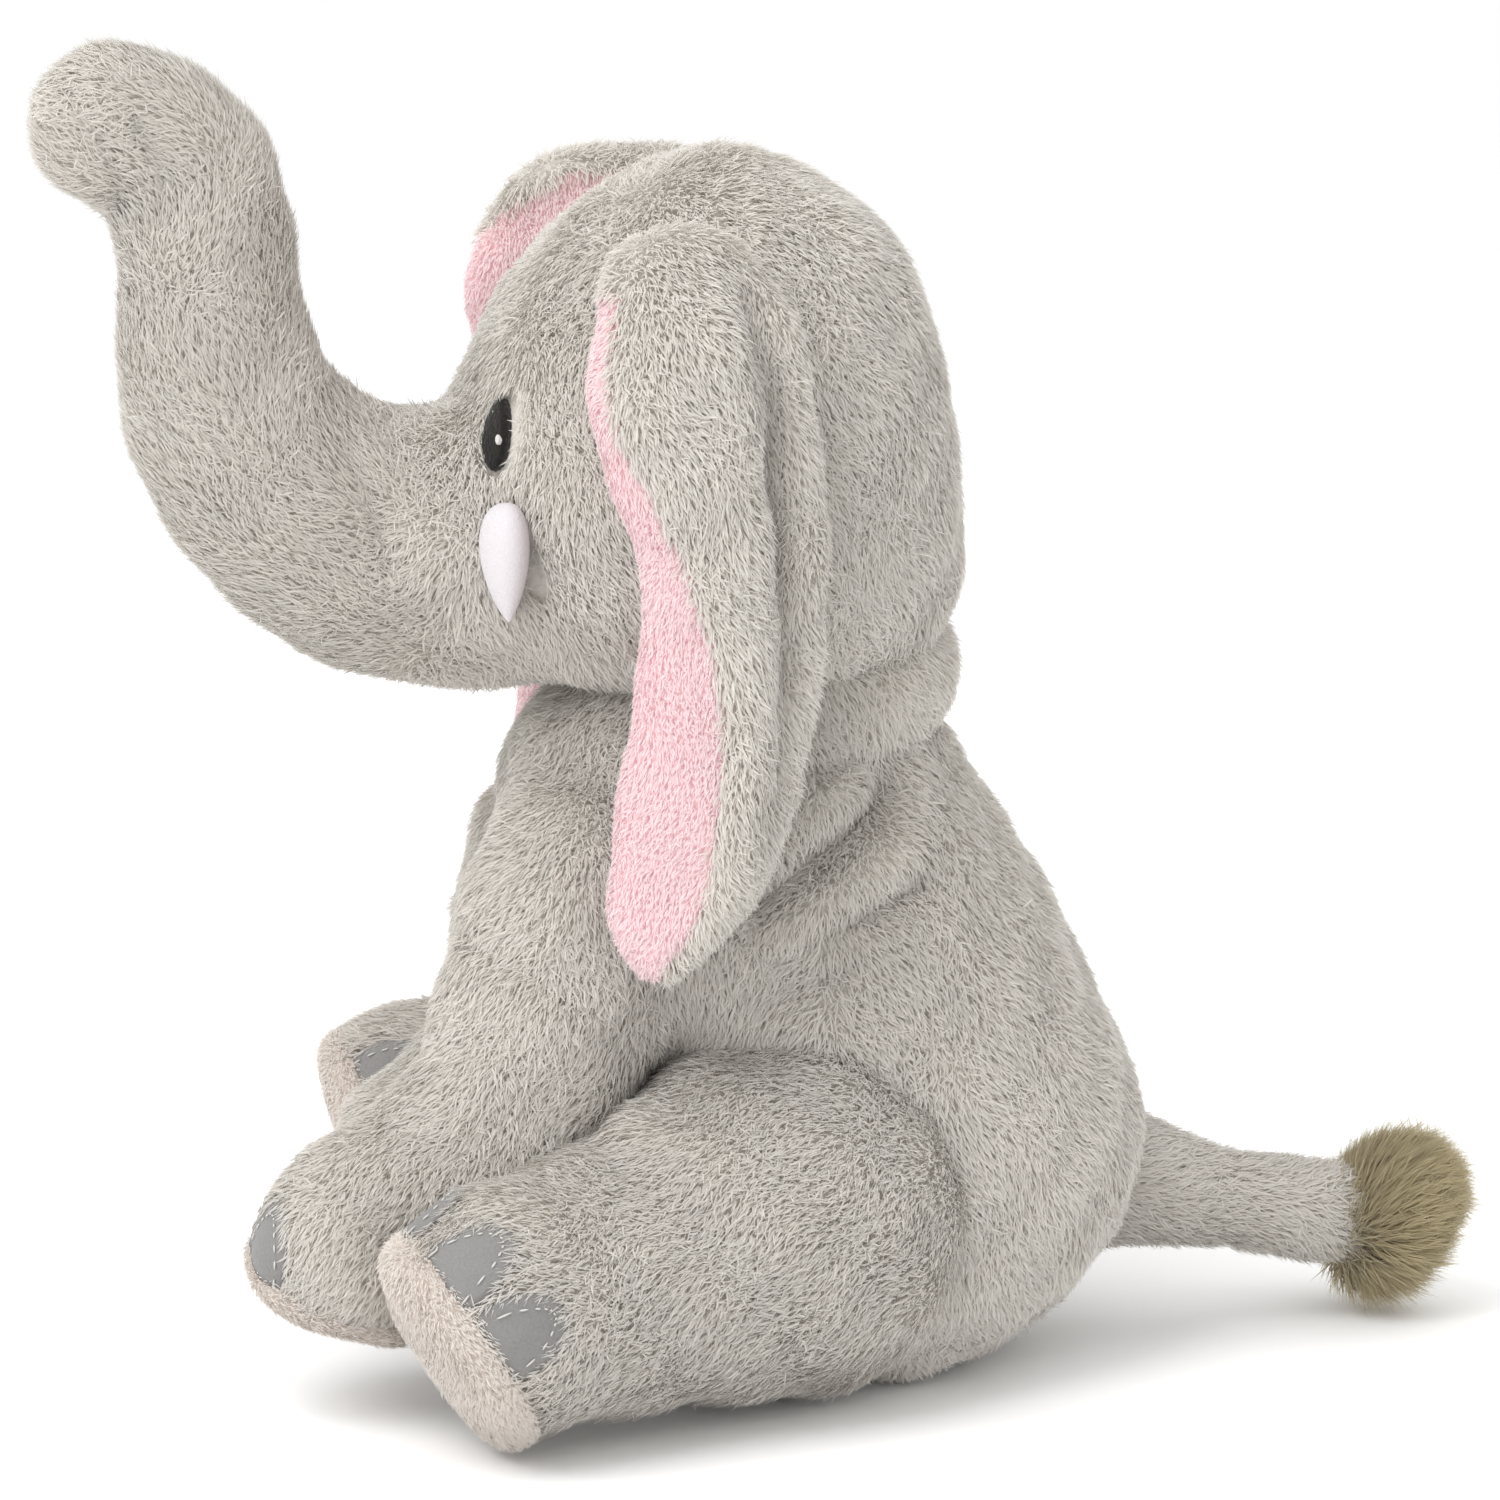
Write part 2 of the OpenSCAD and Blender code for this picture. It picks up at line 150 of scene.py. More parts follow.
class Finish:
    """A material round one Principled shader, whose plain values are set on its own sockets."""

    def __init__(self, name, **plain):
        self.material = bpy.data.materials.new(name)
        self.material.use_nodes = True
        self.tree = self.material.node_tree
        self.shader = self.tree.nodes["Principled BSDF"]
        for socket, value in plain.items():
            self.shader.inputs[socket.replace("_", " ")].default_value = value

    def node(self, kind, settings=None, *values, output=0, **named):
        """Adds a node: its settings first, then the values or wires of its sockets."""
        node = self.tree.nodes.new(kind)
        for key, value in (settings or {}).items():
            setattr(node, key, value)
        pairs = list(zip(node.inputs, values))
        pairs += [(node.inputs[key.replace("_", " ")], value) for key, value in named.items()]
        for socket, value in pairs:
            self.put(socket, value)
        return Wire(self, node.outputs[output])

    def put(self, socket, value):
        if isinstance(value, Wire):
            self.tree.links.new(value.socket, socket)
        else:
            socket.default_value = value

    def place(self):
        """Object coordinates, in metres."""
        return self.node("ShaderNodeTexCoord", output="Object")

    def noise(self, scale, detail=3, where=None):
        """Smooth noise with features of about 1 / scale metres, from 0 to 1."""
        return self.node("ShaderNodeTexNoise", {}, Vector=where or self.place(), Scale=scale,
                         Detail=detail)

    def blend(self, share, first, second):
        """Colour between two colours."""
        node = self.tree.nodes.new("ShaderNodeMix")
        node.data_type = "RGBA"
        for index, value in ((0, share), (6, first), (7, second)):
            self.put(node.inputs[index], value)
        return Wire(self, node.outputs[2])

    def bump(self, height, depth):
        """Relief of depth metres where height goes from 0 to 1."""
        normal = self.node("ShaderNodeBump", {}, Strength=1.0, Distance=depth, Height=height)
        self.put(self.shader.inputs["Normal"], normal)

    def color(self, value):
        self.put(self.shader.inputs["Base Color"], value)
        return self

    def lit_through(self, share, tint):
        """Lets part of the light through to the other side, as thin fibres do."""
        thin = self.node("ShaderNodeBsdfTranslucent", {}, tint)
        front = Wire(self, self.shader.outputs[0])
        mixed = self.node("ShaderNodeMixShader", {}, share, front, thin)
        self.put(self.tree.nodes["Material Output"].inputs["Surface"], mixed)


def tone(red, green, blue):
    """Screen colour, 0 to 255, as the linear light that shaders use."""
    s = np.array([red, green, blue]) / 255
    linear = np.where(s < 0.04045, s / 12.92, ((s + 0.055) / 1.055) ** 2.4)
    return (*linear.tolist(), 1.0)


# %% [markdown]
# ## Pile and backing
# Short plush is a knitted backing with dense fibres that stand a few millimetres and lean with the
# nap. Each blade is painted darker at its root, as painted shade where light doesn't reach, and its
# tip is pale. The blades that stand for fibres carry a map of their own: across is the tint of their
# tuft and up is the way from root to tip, so that one strip of colour serves tens of thousands of them.

# %% Finishes of pile and cloth
MAP = "OFBake"  # the pieces' own map
LIT_THROUGH = 0.45  # share of the light that passes through a blade


def pile_finish(name, root, middle, tip, spread):
    """Colour runs from root to tip in two steps, the root painted darker as painted shade; each tuft
    is a little lighter or darker.
    """
    finish = Finish(name, Roughness=0.85, Sheen_Weight=0.5, Sheen_Roughness=0.5,
                    Specular_IOR_Level=0.15)
    own = finish.node("ShaderNodeUVMap", dict(uv_map=MAP))
    parts = finish.tree.nodes.new("ShaderNodeSeparateXYZ")
    finish.put(parts.inputs[0], own)
    tint, along = Wire(finish, parts.outputs[0]), Wire(finish, parts.outputs[1])
    low = finish.blend(along.math("MINIMUM", along * 2.0, 1.0), root, middle)
    high = finish.blend(along.math("MAXIMUM", along * 2.0 - 1.0, 0.0), low, tip)
    shade = 1.0 - spread + tint * (2 * spread)
    grey = finish.node("ShaderNodeCombineXYZ", {}, shade, shade, shade)
    lit = finish.node("ShaderNodeVectorMath", dict(operation="MULTIPLY"), high, grey)
    finish.lit_through(LIT_THROUGH, middle)
    return finish.color(lit).material


def cloth_finish(name, dark, light, grain=900, depth=0.0004):
    """Knitted or felted cloth: two tones in a fine grain, with the same grain as relief."""
    finish = Finish(name, Roughness=0.9, Sheen_Weight=0.2, Sheen_Roughness=0.5,
                    Specular_IOR_Level=0.15)
    fuzz = finish.noise(grain, 4)
    broad = finish.noise(60, 2)
    finish.bump(fuzz, depth)
    return finish.color(finish.blend(fuzz * 0.7 + broad * 0.3, dark, light)).material


# root, middle and tip tones of each pile: the darker root is painted shade
GREY_PILE = pile_finish("grey_pile", tone(213, 209, 203), tone(227, 223, 217), tone(236, 233, 228), 0.05)
PINK_PILE = pile_finish("pink_pile", tone(240, 219, 222), tone(245, 228, 230), tone(248, 236, 237), 0.03)
CREAM_PILE = pile_finish("cream_pile", tone(219, 212, 204), tone(230, 224, 218), tone(238, 234, 229), 0.04)
KHAKI_PILE = pile_finish("khaki_pile", tone(150, 136, 101), tone(186, 173, 139), tone(210, 199, 167), 0.14)
GREY_CLOTH = cloth_finish("grey_cloth", tone(186, 181, 174), tone(206, 201, 194))
PINK_CLOTH = cloth_finish("pink_cloth", tone(238, 196, 201), tone(246, 212, 215))
CREAM_CLOTH = cloth_finish("cream_cloth", tone(206, 194, 184), tone(224, 214, 206))
FELT_FINISH = cloth_finish("grey_felt", tone(114, 112, 111), tone(145, 143, 141), 1600, 0.0003)
VELOUR = cloth_finish("white_velour", tone(196, 191, 194), tone(222, 218, 221), 2200, 0.0003)
BLACK_THREAD = cloth_finish("black_thread", tone(16, 15, 14), tone(44, 42, 39), 1500, 0.0003)
WHITE_THREAD = cloth_finish("white_thread", tone(184, 182, 178), tone(212, 210, 206), 1500, 0.0002)
FIBRE = cloth_finish("fibre_fill", tone(222, 222, 218), tone(250, 250, 247), 300, 0.002)
POUCH = cloth_finish("pouch_cloth", tone(190, 184, 170), tone(222, 216, 203), 1200, 0.0003)
print("finishes:", len(bpy.data.materials))

# %% [markdown]
# ## From rings to a sewn skin
# A plush body is a bag of curved panels, so every cover starts as rings along a line: level rings
# for the head and torso, rings across a path for the trunk, legs and tail. Rings are whole numpy
# arrays, and a Catmull-Rom curve fills in between the few that the shape needs.

# %% Curves and rings
STAND = 3.4  # how far the leaning pile stands off the cloth, mm
SQUARENESS = 2.2  # power of the level rings' outline: 2 is an ellipse, more is squarer
CAP_ANGLES = (20, 40, 60, 80)  # degrees up the half ball that closes a tube
TABLE_GAP = 0.4 * MM  # no cloth comes nearer to the table


def smooth_rows(rows, steps):
    """Catmull-Rom curve through the rows of a table, steps points for each span."""
    rows = np.asarray(rows, float)
    padded = np.concatenate([2 * rows[:1] - rows[1:2], rows, 2 * rows[-1:] - rows[-2:-1]])
    a, b, c, d = (padded[k:len(rows) - 1 + k, None] for k in range(4))
    t = (np.arange(steps) / steps)[None, :, None]
    mid = 0.5 * (2 * b + (c - a) * t + (2 * a - 5 * b + 4 * c - d) * t ** 2
                 + (3 * b - a - 3 * c + d) * t ** 3)
    return np.concatenate([mid.reshape(-1, rows.shape[1]), rows[-1:]])


def unit(v):
    return v / np.maximum(np.linalg.norm(v, axis=-1, keepdims=True), 1e-12)


def round_turn(points):
    """Angles of evenly spaced points on a circle."""
    return np.linspace(0, 2 * np.pi, points, endpoint=False)


def level_rings(levels):
    """Level rings from rows of height, front, back and half width: each is a rounded square,
    |x / w|^SQUARENESS + |y / d|^SQUARENESS = 1, drawn in by the pile's stand."""
    table = smooth_rows(levels, 3)
    z, front, back, wide = (table[:, k, None] for k in range(4))
    turn = round_turn(48)[None]
    shape = [np.sign(f) * np.abs(f) ** (2 / SQUARENESS) for f in (np.cos(turn), np.sin(turn))]
    x = np.maximum(wide - STAND, 1) * shape[0]
    y = (front + back) / 2 + np.maximum((back - front) / 2 - STAND, 1) * shape[1]
    return np.stack([x, y, np.broadcast_to(z, x.shape)], -1) * MM


def path_rings(stations, steps=4, points=32, side=1, flat=1.0):
    """Round rings across a path from rows of x, y, z and radius. A half ball closes each end: its
    rings shrink as the cosine while they move on by the sine, times flat."""
    table = smooth_rows(stations, steps)
    centre, radius = table[:, :3], np.maximum(table[:, 3:] - STAND, 1)
    way = unit(np.gradient(centre, axis=0))
    angles = np.radians(CAP_ANGLES)
    for end, sign in ((0, -1), (-1, 1)):
        ball_r = radius[end] * np.cos(angles)[:, None]
        ball_c = centre[end] + sign * way[end] * radius[end] * np.sin(angles)[:, None] * flat
        ball_w = np.repeat(way[end][None], len(angles), 0)
        both = [(ball_c, centre), (ball_r, radius), (ball_w, way)]
        centre, radius, way = (
            np.concatenate((b[::-1], a) if sign < 0 else (a, b)) for b, a in both)
    across = unit(np.cross(way, [0.0, 0.31, 1.0]))
    across = across * np.sign(across[:, :1] + 1e-9)
    up = np.cross(across, way)
    turn = round_turn(points)[None, :, None]
    rings = centre[:, None] + radius[:, None] * (across[:, None] * np.cos(turn)
                                                 + up[:, None] * np.sin(turn))
    return rings * [side, 1, 1] * MM


# %% Meshes and their points
def closed_mesh(name, rings):
    """Mesh through rings[j, i], whose two ends close on their middle points, facing outwards."""
    m, n, _ = rings.shape
    co = np.concatenate([rings.reshape(-1, 3), rings[[0, -1]].mean(1)])
    j, i = np.meshgrid(np.arange(m - 1), np.arange(n), indexing="ij")
    a, b = j * n + i, j * n + (i + 1) % n
    quads = np.stack([a, b, b + n, a + n], -1).reshape(-1, 4)
    k = np.arange(n)
    low = np.stack([np.full(n, m * n), (k + 1) % n, k], -1)
    high = np.stack([np.full(n, m * n + 1), (m - 1) * n + k, (m - 1) * n + (k + 1) % n], -1)
    return solid(name, co, quads.tolist() + low.tolist() + high.tolist())


def solid(name, co, faces):
    """Mesh of a closed surface, turned the right way out by the sign of its volume."""
    mesh = bpy.data.meshes.new(name)
    mesh.from_pydata(co.tolist(), [], faces)
    tris, co = corners(mesh)
    a, b, c = (co[tris[:, k]] for k in range(3))
    if np.einsum("ij,ij->i", a, np.cross(b, c)).sum() < 0:
        mesh.flip_normals()
    return mesh


def corners(mesh):
    """Corner triangles and points of a mesh, as arrays."""
    mesh.calc_loop_triangles()
    tris = np.zeros(len(mesh.loop_triangles) * 3, np.int32)
    mesh.loop_triangles.foreach_get("vertices", tris)
    return tris.reshape(-1, 3), points_of(mesh)


def rows_of(things, what):
    """One attribute of all the things, three numbers a row."""
    values = np.zeros(len(things) * 3, np.float32)
    things.foreach_get(what, values)
    return values.reshape(-1, 3).astype(float)


def points_of(mesh):
    return rows_of(mesh.vertices, "co")


def normals_of(mesh):
    return rows_of(mesh.vertex_normals, "vector")


def move_points(mesh, co):
    """New places for a mesh's points; nothing sinks into the table."""
    co[:, 2] = np.maximum(co[:, 2], TABLE_GAP)
    mesh.vertices.foreach_set("co", co.astype(np.float32).ravel())
    mesh.update()


# %% [markdown]
# ## Stuffing a cover
# Sewn panels meet in creases and swell between them when they are filled. So the rings are joined
# by a voxel remesh, their sharp inner corners are relaxed, and a short cloth simulation with
# pressure and no gravity fills the skin. How far a point may move is capped, because a plush toy is
# cut close to its final shape. One subdivision then makes it round.

# %% Remesh, relax and fill
FILL_FRAMES = 20
CLOTH = dict(quality=4, mass=0.2, tension_stiffness=20, compression_stiffness=20,
             bending_stiffness=1, use_pressure=True)


def applied(thing):
    """Replaces an object's mesh by what its modifiers make of it."""
    made = bpy.data.meshes.new_from_object(thing.evaluated_get(bpy.context.evaluated_depsgraph_get()))
    thing.modifiers.clear()
    old, thing.data = thing.data, made
    bpy.data.meshes.remove(old)


def joined(name, meshes):
    """One object with all the meshes' faces."""
    bm = bmesh.new()
    for mesh in meshes:
        bm.from_mesh(mesh)
        bpy.data.meshes.remove(mesh)
    mesh = bpy.data.meshes.new(name)
    bm.to_mesh(mesh)
    bm.free()
    return in_scene(name, mesh)


def relax(mesh, rounds):
    """Moves each point half of the way to its neighbours' mean, again and again."""
    edges = np.zeros(len(mesh.edges) * 2, np.int32)
    mesh.edges.foreach_get("vertices", edges)
    edges = edges.reshape(-1, 2)
    here, there = np.concatenate([edges, edges[:, ::-1]]).T
    co = points_of(mesh)
    count = np.bincount(here, minlength=len(co))[:, None]
    for _ in range(rounds):
        total = np.stack([np.bincount(here, co[there, k], len(co)) for k in range(3)], -1)
        co += (total / count - co) * 0.5
    move_points(mesh, co)


# %% Fill a cover
def stuffed(name, meshes, voxel=4.5, rounds=6, pressure=4.0, cap=4.0):
    """A filled cover: remeshed, relaxed, blown up by cloth pressure with each point's move capped
    at cap mm, and subdivided once."""
    thing = joined(name, meshes)
    remesh = thing.modifiers.new("remesh", "REMESH")
    remesh.mode = "VOXEL"
    remesh.voxel_size = voxel * MM
    applied(thing)
    relax(thing.data, rounds)
    start = points_of(thing.data)
    cloth = thing.modifiers.new("fill", "CLOTH").settings
    for key, value in dict(CLOTH, uniform_pressure_force=pressure).items():
        setattr(cloth, key, value)
    cloth.effector_weights.gravity = 0
    for step in range(1, FILL_FRAMES + 1):
        bpy.context.scene.frame_set(step)
    applied(thing)
    bpy.context.scene.frame_set(1)
    move = points_of(thing.data) - start
    far = np.linalg.norm(move, axis=1, keepdims=True)
    limit = np.tanh(far / (cap * MM)) * cap * MM
    move_points(thing.data, start + move / np.maximum(far, 1e-9) * limit)
    relax(thing.data, 1)
    finer = thing.modifiers.new("finer", "SUBSURF")
    finer.levels = finer.render_levels = 1
    applied(thing)
    thing.data.shade_smooth()
    print(name, len(thing.data.polygons), "faces")
    return thing


# %% What a finished piece is, and what it moves with


def dress(thing, finish, slot, *nodes, fill=None):
    """Gives a piece its finish and hides the parts it stands for.
    slot: not used. fill: not used.
    """
    thing.data.materials.clear()
    thing.data.materials.append(finish)
    if nodes:
        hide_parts(*nodes)


def follow(thing, first, second=None, bend=None):
    """Lets a piece ride on one body; given a second body, it only has its placement baked into its points.
    bend: not used.
    """
    if second:
        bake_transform(thing)
    else:
        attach(thing, first)


# %% [markdown]
# ## Seams, folds and lumps
# Stitched seams, folds and the slight lumps of fibre filling come after the remesh, which would
# rub them out. Each is a height added along the surface's normal: a valley or ridge is a bell curve
# of the distance from a line, and lumps are a few long sine waves that cross.

# %% Relief on a skin


def nearest(co, others):
    """For each point, which of the other points is nearest; worked out in slices."""
    found = [((part[:, None] - others[None]) ** 2).sum(2).argmin(1)
             for part in np.array_split(co, max(len(co) * len(others) // 4000000, 1))]
    return np.concatenate(found)


def from_line(co, line):
    """Distance of each point from a line through a few points, which first drop onto the skin."""
    line = co[nearest(np.asarray(line, float) * MM, co)]
    best = np.full(len(co), 1e9)
    for a, b in zip(line[:-1], line[1:]):
        t = np.clip(((co - a) @ (b - a)) / ((b - a) @ (b - a)), 0, 1)
        best = np.minimum(best, np.linalg.norm(co - a - t[:, None] * (b - a), axis=1))
    return best


def raised(thing, lines, lumps=0.5):
    """Adds ridges and valleys, rows of line, height and half width in mm, and lumps of that many
    mm to a skin."""
    co, normal = points_of(thing.data), normals_of(thing.data)
    height = lumps * MM * sum(
        np.sin(co @ np.array(wave) + phase) for wave, phase in
        (((190, 130, 90), 0.4), ((-120, 210, 160), 1.9), ((150, -170, 230), 3.1))) / 1.5
    for line, rise, wide in lines:
        height = height + rise * MM * np.exp(-(from_line(co, line) / (wide * MM)) ** 2)
    move_points(thing.data, co + normal * height[:, None])


def both_sides(line):
    """A line on the left side and its mirror image."""
    return [line, [(-x, y, z) for x, y, z in line]]


# %% [markdown]
# ## Growing the pile
# Real pile has hundreds of fibres on a square millimetre. A blade with a bend in its middle and four
# corners stands for a small bundle of them: one point in the cloth, two at its widest and one tip.
# Roots are strewn evenly over the skin by area. The nap leans all blades one way, slow waves swirl
# it, and tips are drawn towards the middle of their tuft, which gives plush its soft, mottled look.

# %% Blades of pile
PILE = {  # blades on a square millimetre, length, width in mm, tuft size in mm
    "plush": (2.6, 5.6, 0.49, 2.4),
    "short": (3.0, 3.0, 0.43, 2.0),
    "tuft": (13.0, 15.5, 0.38, 4.0),
}
SWIRLS = np.array([[160.0, 90, 130], [110, -170, 90], [-90, 140, 190]])  # waves of the nap, 1 / m
PATCHES = np.array([[70.0, 110, 50], [-60, 90, 120]])  # waves of lighter and darker pile, 1 / m
MOST_BLADES = 99000  # a blade is two triangles
SWIRL, STRAY = 0.3, 0.34  # how far the waves, and chance, turn a blade from the nap
LEAN_SPREAD, LENGTH_SPREAD, WIDTH_SPREAD = 6, 0.12, 0.15  # degrees, then shares
TIP_PULL, MIDDLE_PULL = 0.26, 0.08  # share of the way to the heart of the tuft
ROOT_DEPTH = 0.0004  # how far a root sits in the cloth, m
PILE_GAP = 0.3 * MM  # no blade comes nearer to the table


def hashed(cell, salt):
    """A number from 0 to 1 that looks random but depends only on the cell."""
    key = np.sin(cell @ np.array([12.9898, 78.233, 37.719]) + salt) * 43758.5453
    return key - np.floor(key)


# %% Roots and blades
def strewn(skin, density, rng):
    """Points strewn over a skin by area, and their normals: a point of a triangle is
    (1 - u - v) a + u b + v c, with u + v folded back under 1."""
    tris, co = corners(skin.data)
    normals = normals_of(skin.data)
    a, b, c = (co[tris[:, k]] for k in range(3))
    area = np.linalg.norm(np.cross(b - a, c - a), axis=1) / 2
    count = int(area.sum() * 1e6 * density)
    steps = (np.arange(count) + rng.random(count)) / count
    pick = np.searchsorted(np.cumsum(area) / area.sum(), steps).clip(0, len(tris) - 1)
    u, v = rng.random((2, count, 1))
    over = (u + v) > 1
    u, v = np.where(over, 1 - u, u), np.where(over, 1 - v, v)
    share = [1 - u - v, u, v]
    root = sum(s * co[tris[pick, k]] for k, s in enumerate(share))
    return root, unit(sum(s * normals[tris[pick, k]] for k, s in enumerate(share)))


def blade_mesh(name, corner_points, tint):
    """Mesh of blades from their four corners: two triangles each, with the tint of the tuft across
    the map and the way from root to tip up it."""
    n = len(corner_points)
    face = np.arange(n)[:, None] * 4 + np.array([0, 1, 2, 1, 3, 2])
    mesh = bpy.data.meshes.new(name)
    mesh.vertices.add(n * 4)
    mesh.vertices.foreach_set("co", corner_points.astype(np.float32).ravel())
    mesh.loops.add(n * 6)
    mesh.loops.foreach_set("vertex_index", face.astype(np.int32).ravel())
    mesh.polygons.add(n * 2)
    mesh.polygons.foreach_set("loop_start", np.arange(0, n * 6, 3, dtype=np.int32))
    mesh.update(calc_edges=True)
    across = np.clip(tint, 0.02, 0.98)[:, None] + np.array([0, 0.01, -0.01, 0])
    up = np.broadcast_to(np.array([0.0, 0.5, 0.5, 1.0]), (n, 4))
    spread = np.stack([across, up], -1)[:, [0, 1, 2, 1, 3, 2]]
    mesh.uv_layers.new(name=MAP).data.foreach_set("uv", spread.astype(np.float32).ravel())
    mesh.shade_smooth()
    return mesh


# %% Grow the pile
def grow(name, skin, kind, finish, comb, seed, keep=None, lean=(38, 74)):
    """Pile on a skin. comb gives the nap's direction for points, keep says which roots stay, and
    lean is the blade's angle from upright at its root and tip, in degrees."""
    density, length, width, tuft = PILE[kind]
    rng = np.random.default_rng(seed)
    root, normal = strewn(skin, density, rng)
    if keep is not None:
        stay = keep(root)
        root, normal = root[stay], normal[stay]
    if len(root) > MOST_BLADES:
        chosen = rng.permutation(len(root))[:MOST_BLADES]
        root, normal = root[chosen], normal[chosen]
    n = len(root)
    way = comb(root) + np.stack([np.sin(root @ wave) for wave in SWIRLS], -1) * SWIRL
    way = way + rng.normal(0, STRAY, (n, 3))
    way = unit(way - normal * (way * normal).sum(1, keepdims=True))
    low, high = (np.radians(x + rng.normal(0, LEAN_SPREAD, (n, 1))) for x in lean)
    first = normal * np.cos(low) + way * np.sin(low)
    second = normal * np.cos(high) + way * np.sin(high)
    size = length * MM * (1 + rng.normal(0, LENGTH_SPREAD, (n, 1)))
    middle = root + first * size / 2
    tip = middle + second * size / 2
    cell = np.floor(tip / (tuft * MM))
    heart = (cell + 0.2 + 0.6 * np.stack([hashed(cell, k) for k in (1, 2, 3)], -1)) * tuft * MM
    pull = heart - tip
    pull -= normal * (pull * normal).sum(1, keepdims=True)
    tip += pull * TIP_PULL
    middle += pull * MIDDLE_PULL
    across = unit(np.cross(way, normal) + normal * rng.normal(0, 0.35, (n, 1)))
    half = across * width * MM / 2 * (1 + rng.normal(0, WIDTH_SPREAD, (n, 1)))
    co = np.stack([root - normal * ROOT_DEPTH, middle + half, middle - half, tip], 1)
    co[..., 2] = np.maximum(co[..., 2], PILE_GAP)
    broad = sum(np.sin(root @ wave) for wave in PATCHES) / 4 + 0.5
    tint = 0.45 * hashed(cell, 7) + 0.3 * broad + 0.25 * rng.random(n)
    thing = in_scene(name, blade_mesh(name, co, tint))
    thing.data.materials.append(finish)
    print(name, n, "blades")
    return thing


# %% Nap and coat
def flow(*way):
    """A nap that runs one way all over a piece."""
    direction = unit(np.array(way, float))
    return lambda co: np.broadcast_to(direction, co.shape)


def coat(name, skin, comb, seed, motion, keep=None, kind="plush", finish=GREY_PILE,
         slot="grey_plush", **more):
    """Pile that rides on the same body as its skin; where its motion names a second body, it is only
    baked in place.
    """
    fur = grow(name, skin, kind, finish, comb, seed, keep, **more)
    follow(fur, *motion)


# %% [markdown]
# ## Head and trunk
# The face, the back of the head and the trunk are one run of cloth: the trunk leaves the face with
# a soft fillet and no visible seam, so they are remeshed and filled together. Its motion names the
# head and, from a few centimetres further on, the trunk, but the piece is only baked in place.
# An ear-to-ear seam crosses the crown, and the cloth bunches where the trunk's tip curls over.

# %% Head and trunk skin
HEAD_LEVELS = [  # height, front, back, half width
    (302, -18, -10, 6), (299, -31, 3, 22), (291, -46, 18, 38), (279, -60, 31, 51),
    (263, -72, 38.5, 60), (245, -79.5, 42.5, 64.5), (226, -82, 45.5, 66.5), (207, -80, 46.5, 66),
    (192, -76, 45, 62), (180, -67, 39, 53), (171, -50, 24, 36), (167, -38, 4, 16),
]
TRUNK_LINE = [  # x, y, z, radius
    (0, -50, 208, 36), (0, -72, 207, 36.5), (0, -88, 206, 35.5), (0, -106, 210.5, 33.5),
    (0, -123, 222, 31), (0, -135, 240, 28.3), (0, -140, 262, 25), (0, -141, 277, 23.6),
]
CURL = (-164, 288, 23)  # y, z and radius of the arc at the trunk's tip
arc = [(0, CURL[0] + CURL[2] * math.cos(t), CURL[1] + CURL[2] * math.sin(t), 23 - 0.4 * t)
       for t in np.radians([0, 30, 60, 90])]
head = stuffed("head_cover", [
    closed_mesh("head", level_rings(HEAD_LEVELS)),
    closed_mesh("trunk", path_rings(TRUNK_LINE + arc)),
], rounds=9)
CROWN_SEAM = [(66, -22, 215), (66, -22, 245), (56, -20, 274), (38, -17, 292), (0, -10, 302)]
CROWN_SEAM = CROWN_SEAM + [(-x, y, z) for x, y, z in CROWN_SEAM[-2::-1]]
CURL_FOLDS = [line for fold in (
    [(13, -176, 321), (20, -168, 306), (22, -164, 293), (14, -166, 287)],
    [(20, -158, 312), (23, -154, 300), (22, -156, 288)],
    [(30, -106, 236), (33, -104, 222), (32, -100, 208)]) for line in both_sides(fold)]
raised(head, [(CROWN_SEAM, 2.4, 5), (CROWN_SEAM, -3.4, 1.8)]
       + [(line, -2.2, 3.5) for line in CURL_FOLDS])
HEAD_MOVES = ("head", "trunk", dict(start=(0, -0.078, 0.2), end=(0, -0.118, 0.2)))
dress(head, GREY_CLOTH, "grey_plush", "head_face_panel", "head_back_panel", "trunk_cover", fill=0.8)
follow(head, *HEAD_MOVES)


# %% [markdown]
# ## Torso and forelegs
# The chest runs down into the forelegs with only a soft hollow between them, so these three are
# filled together and then cut apart at the shoulders. A bend for each leg is worked out to start a
# little below the cut, but the legs are only baked in place. Folds run from the armpit up to the neck,
# where the cloth of the sitting toy is slack, and a roll of it lies under the nape.

# %% Torso and foreleg shapes
TORSO_LEVELS = [  # height, front, back, half width
    (0.5, -24, 30, 38), (5, -32, 52, 54), (13, -36, 67, 65), (26, -38, 81, 72), (42, -39, 90, 75.5),
    (58, -39, 93.8, 76.5), (77, -41, 88.5, 74), (95, -48, 79.5, 70), (108, -58, 73.5, 66),
    (121, -66, 67, 62), (136, -70, 57.5, 58), (150, -70, 49, 54), (160, -67, 42.5, 50),
    (170, -58, 47.5, 50), (179, -50, 48, 49), (186, -42, 42, 41), (191, -30, 28, 26),
]
FORE_LINE = [  # x, y, z, radius
    (27, -43, 134, 31), (31, -50, 123, 32), (34, -60, 104, 31.5), (37.5, -67, 82, 28.5),
    (40, -79, 64.5, 26.5), (41, -99, 49, 27.5), (41.5, -112, 41.5, 27.5), (39, -115, 31.5, 26.5),
]
FAR_SHIFT = np.array([0, 30, -2, 0])  # the far foot rests further back than the near one
SHOULDER_CUT = np.array([34, -62, 101]) * MM
DOWN_THE_LEG = unit(np.array([0.08, -0.5, -0.86]))


def fore_line(side):
    """The foreleg's stations on the left (1) or right (-1), x still counted outwards."""
    line = np.array(FORE_LINE, float)
    if side < 0:
        line = line + FAR_SHIFT * np.linspace(0, 1, len(line))[:, None] ** 0.7
    return line


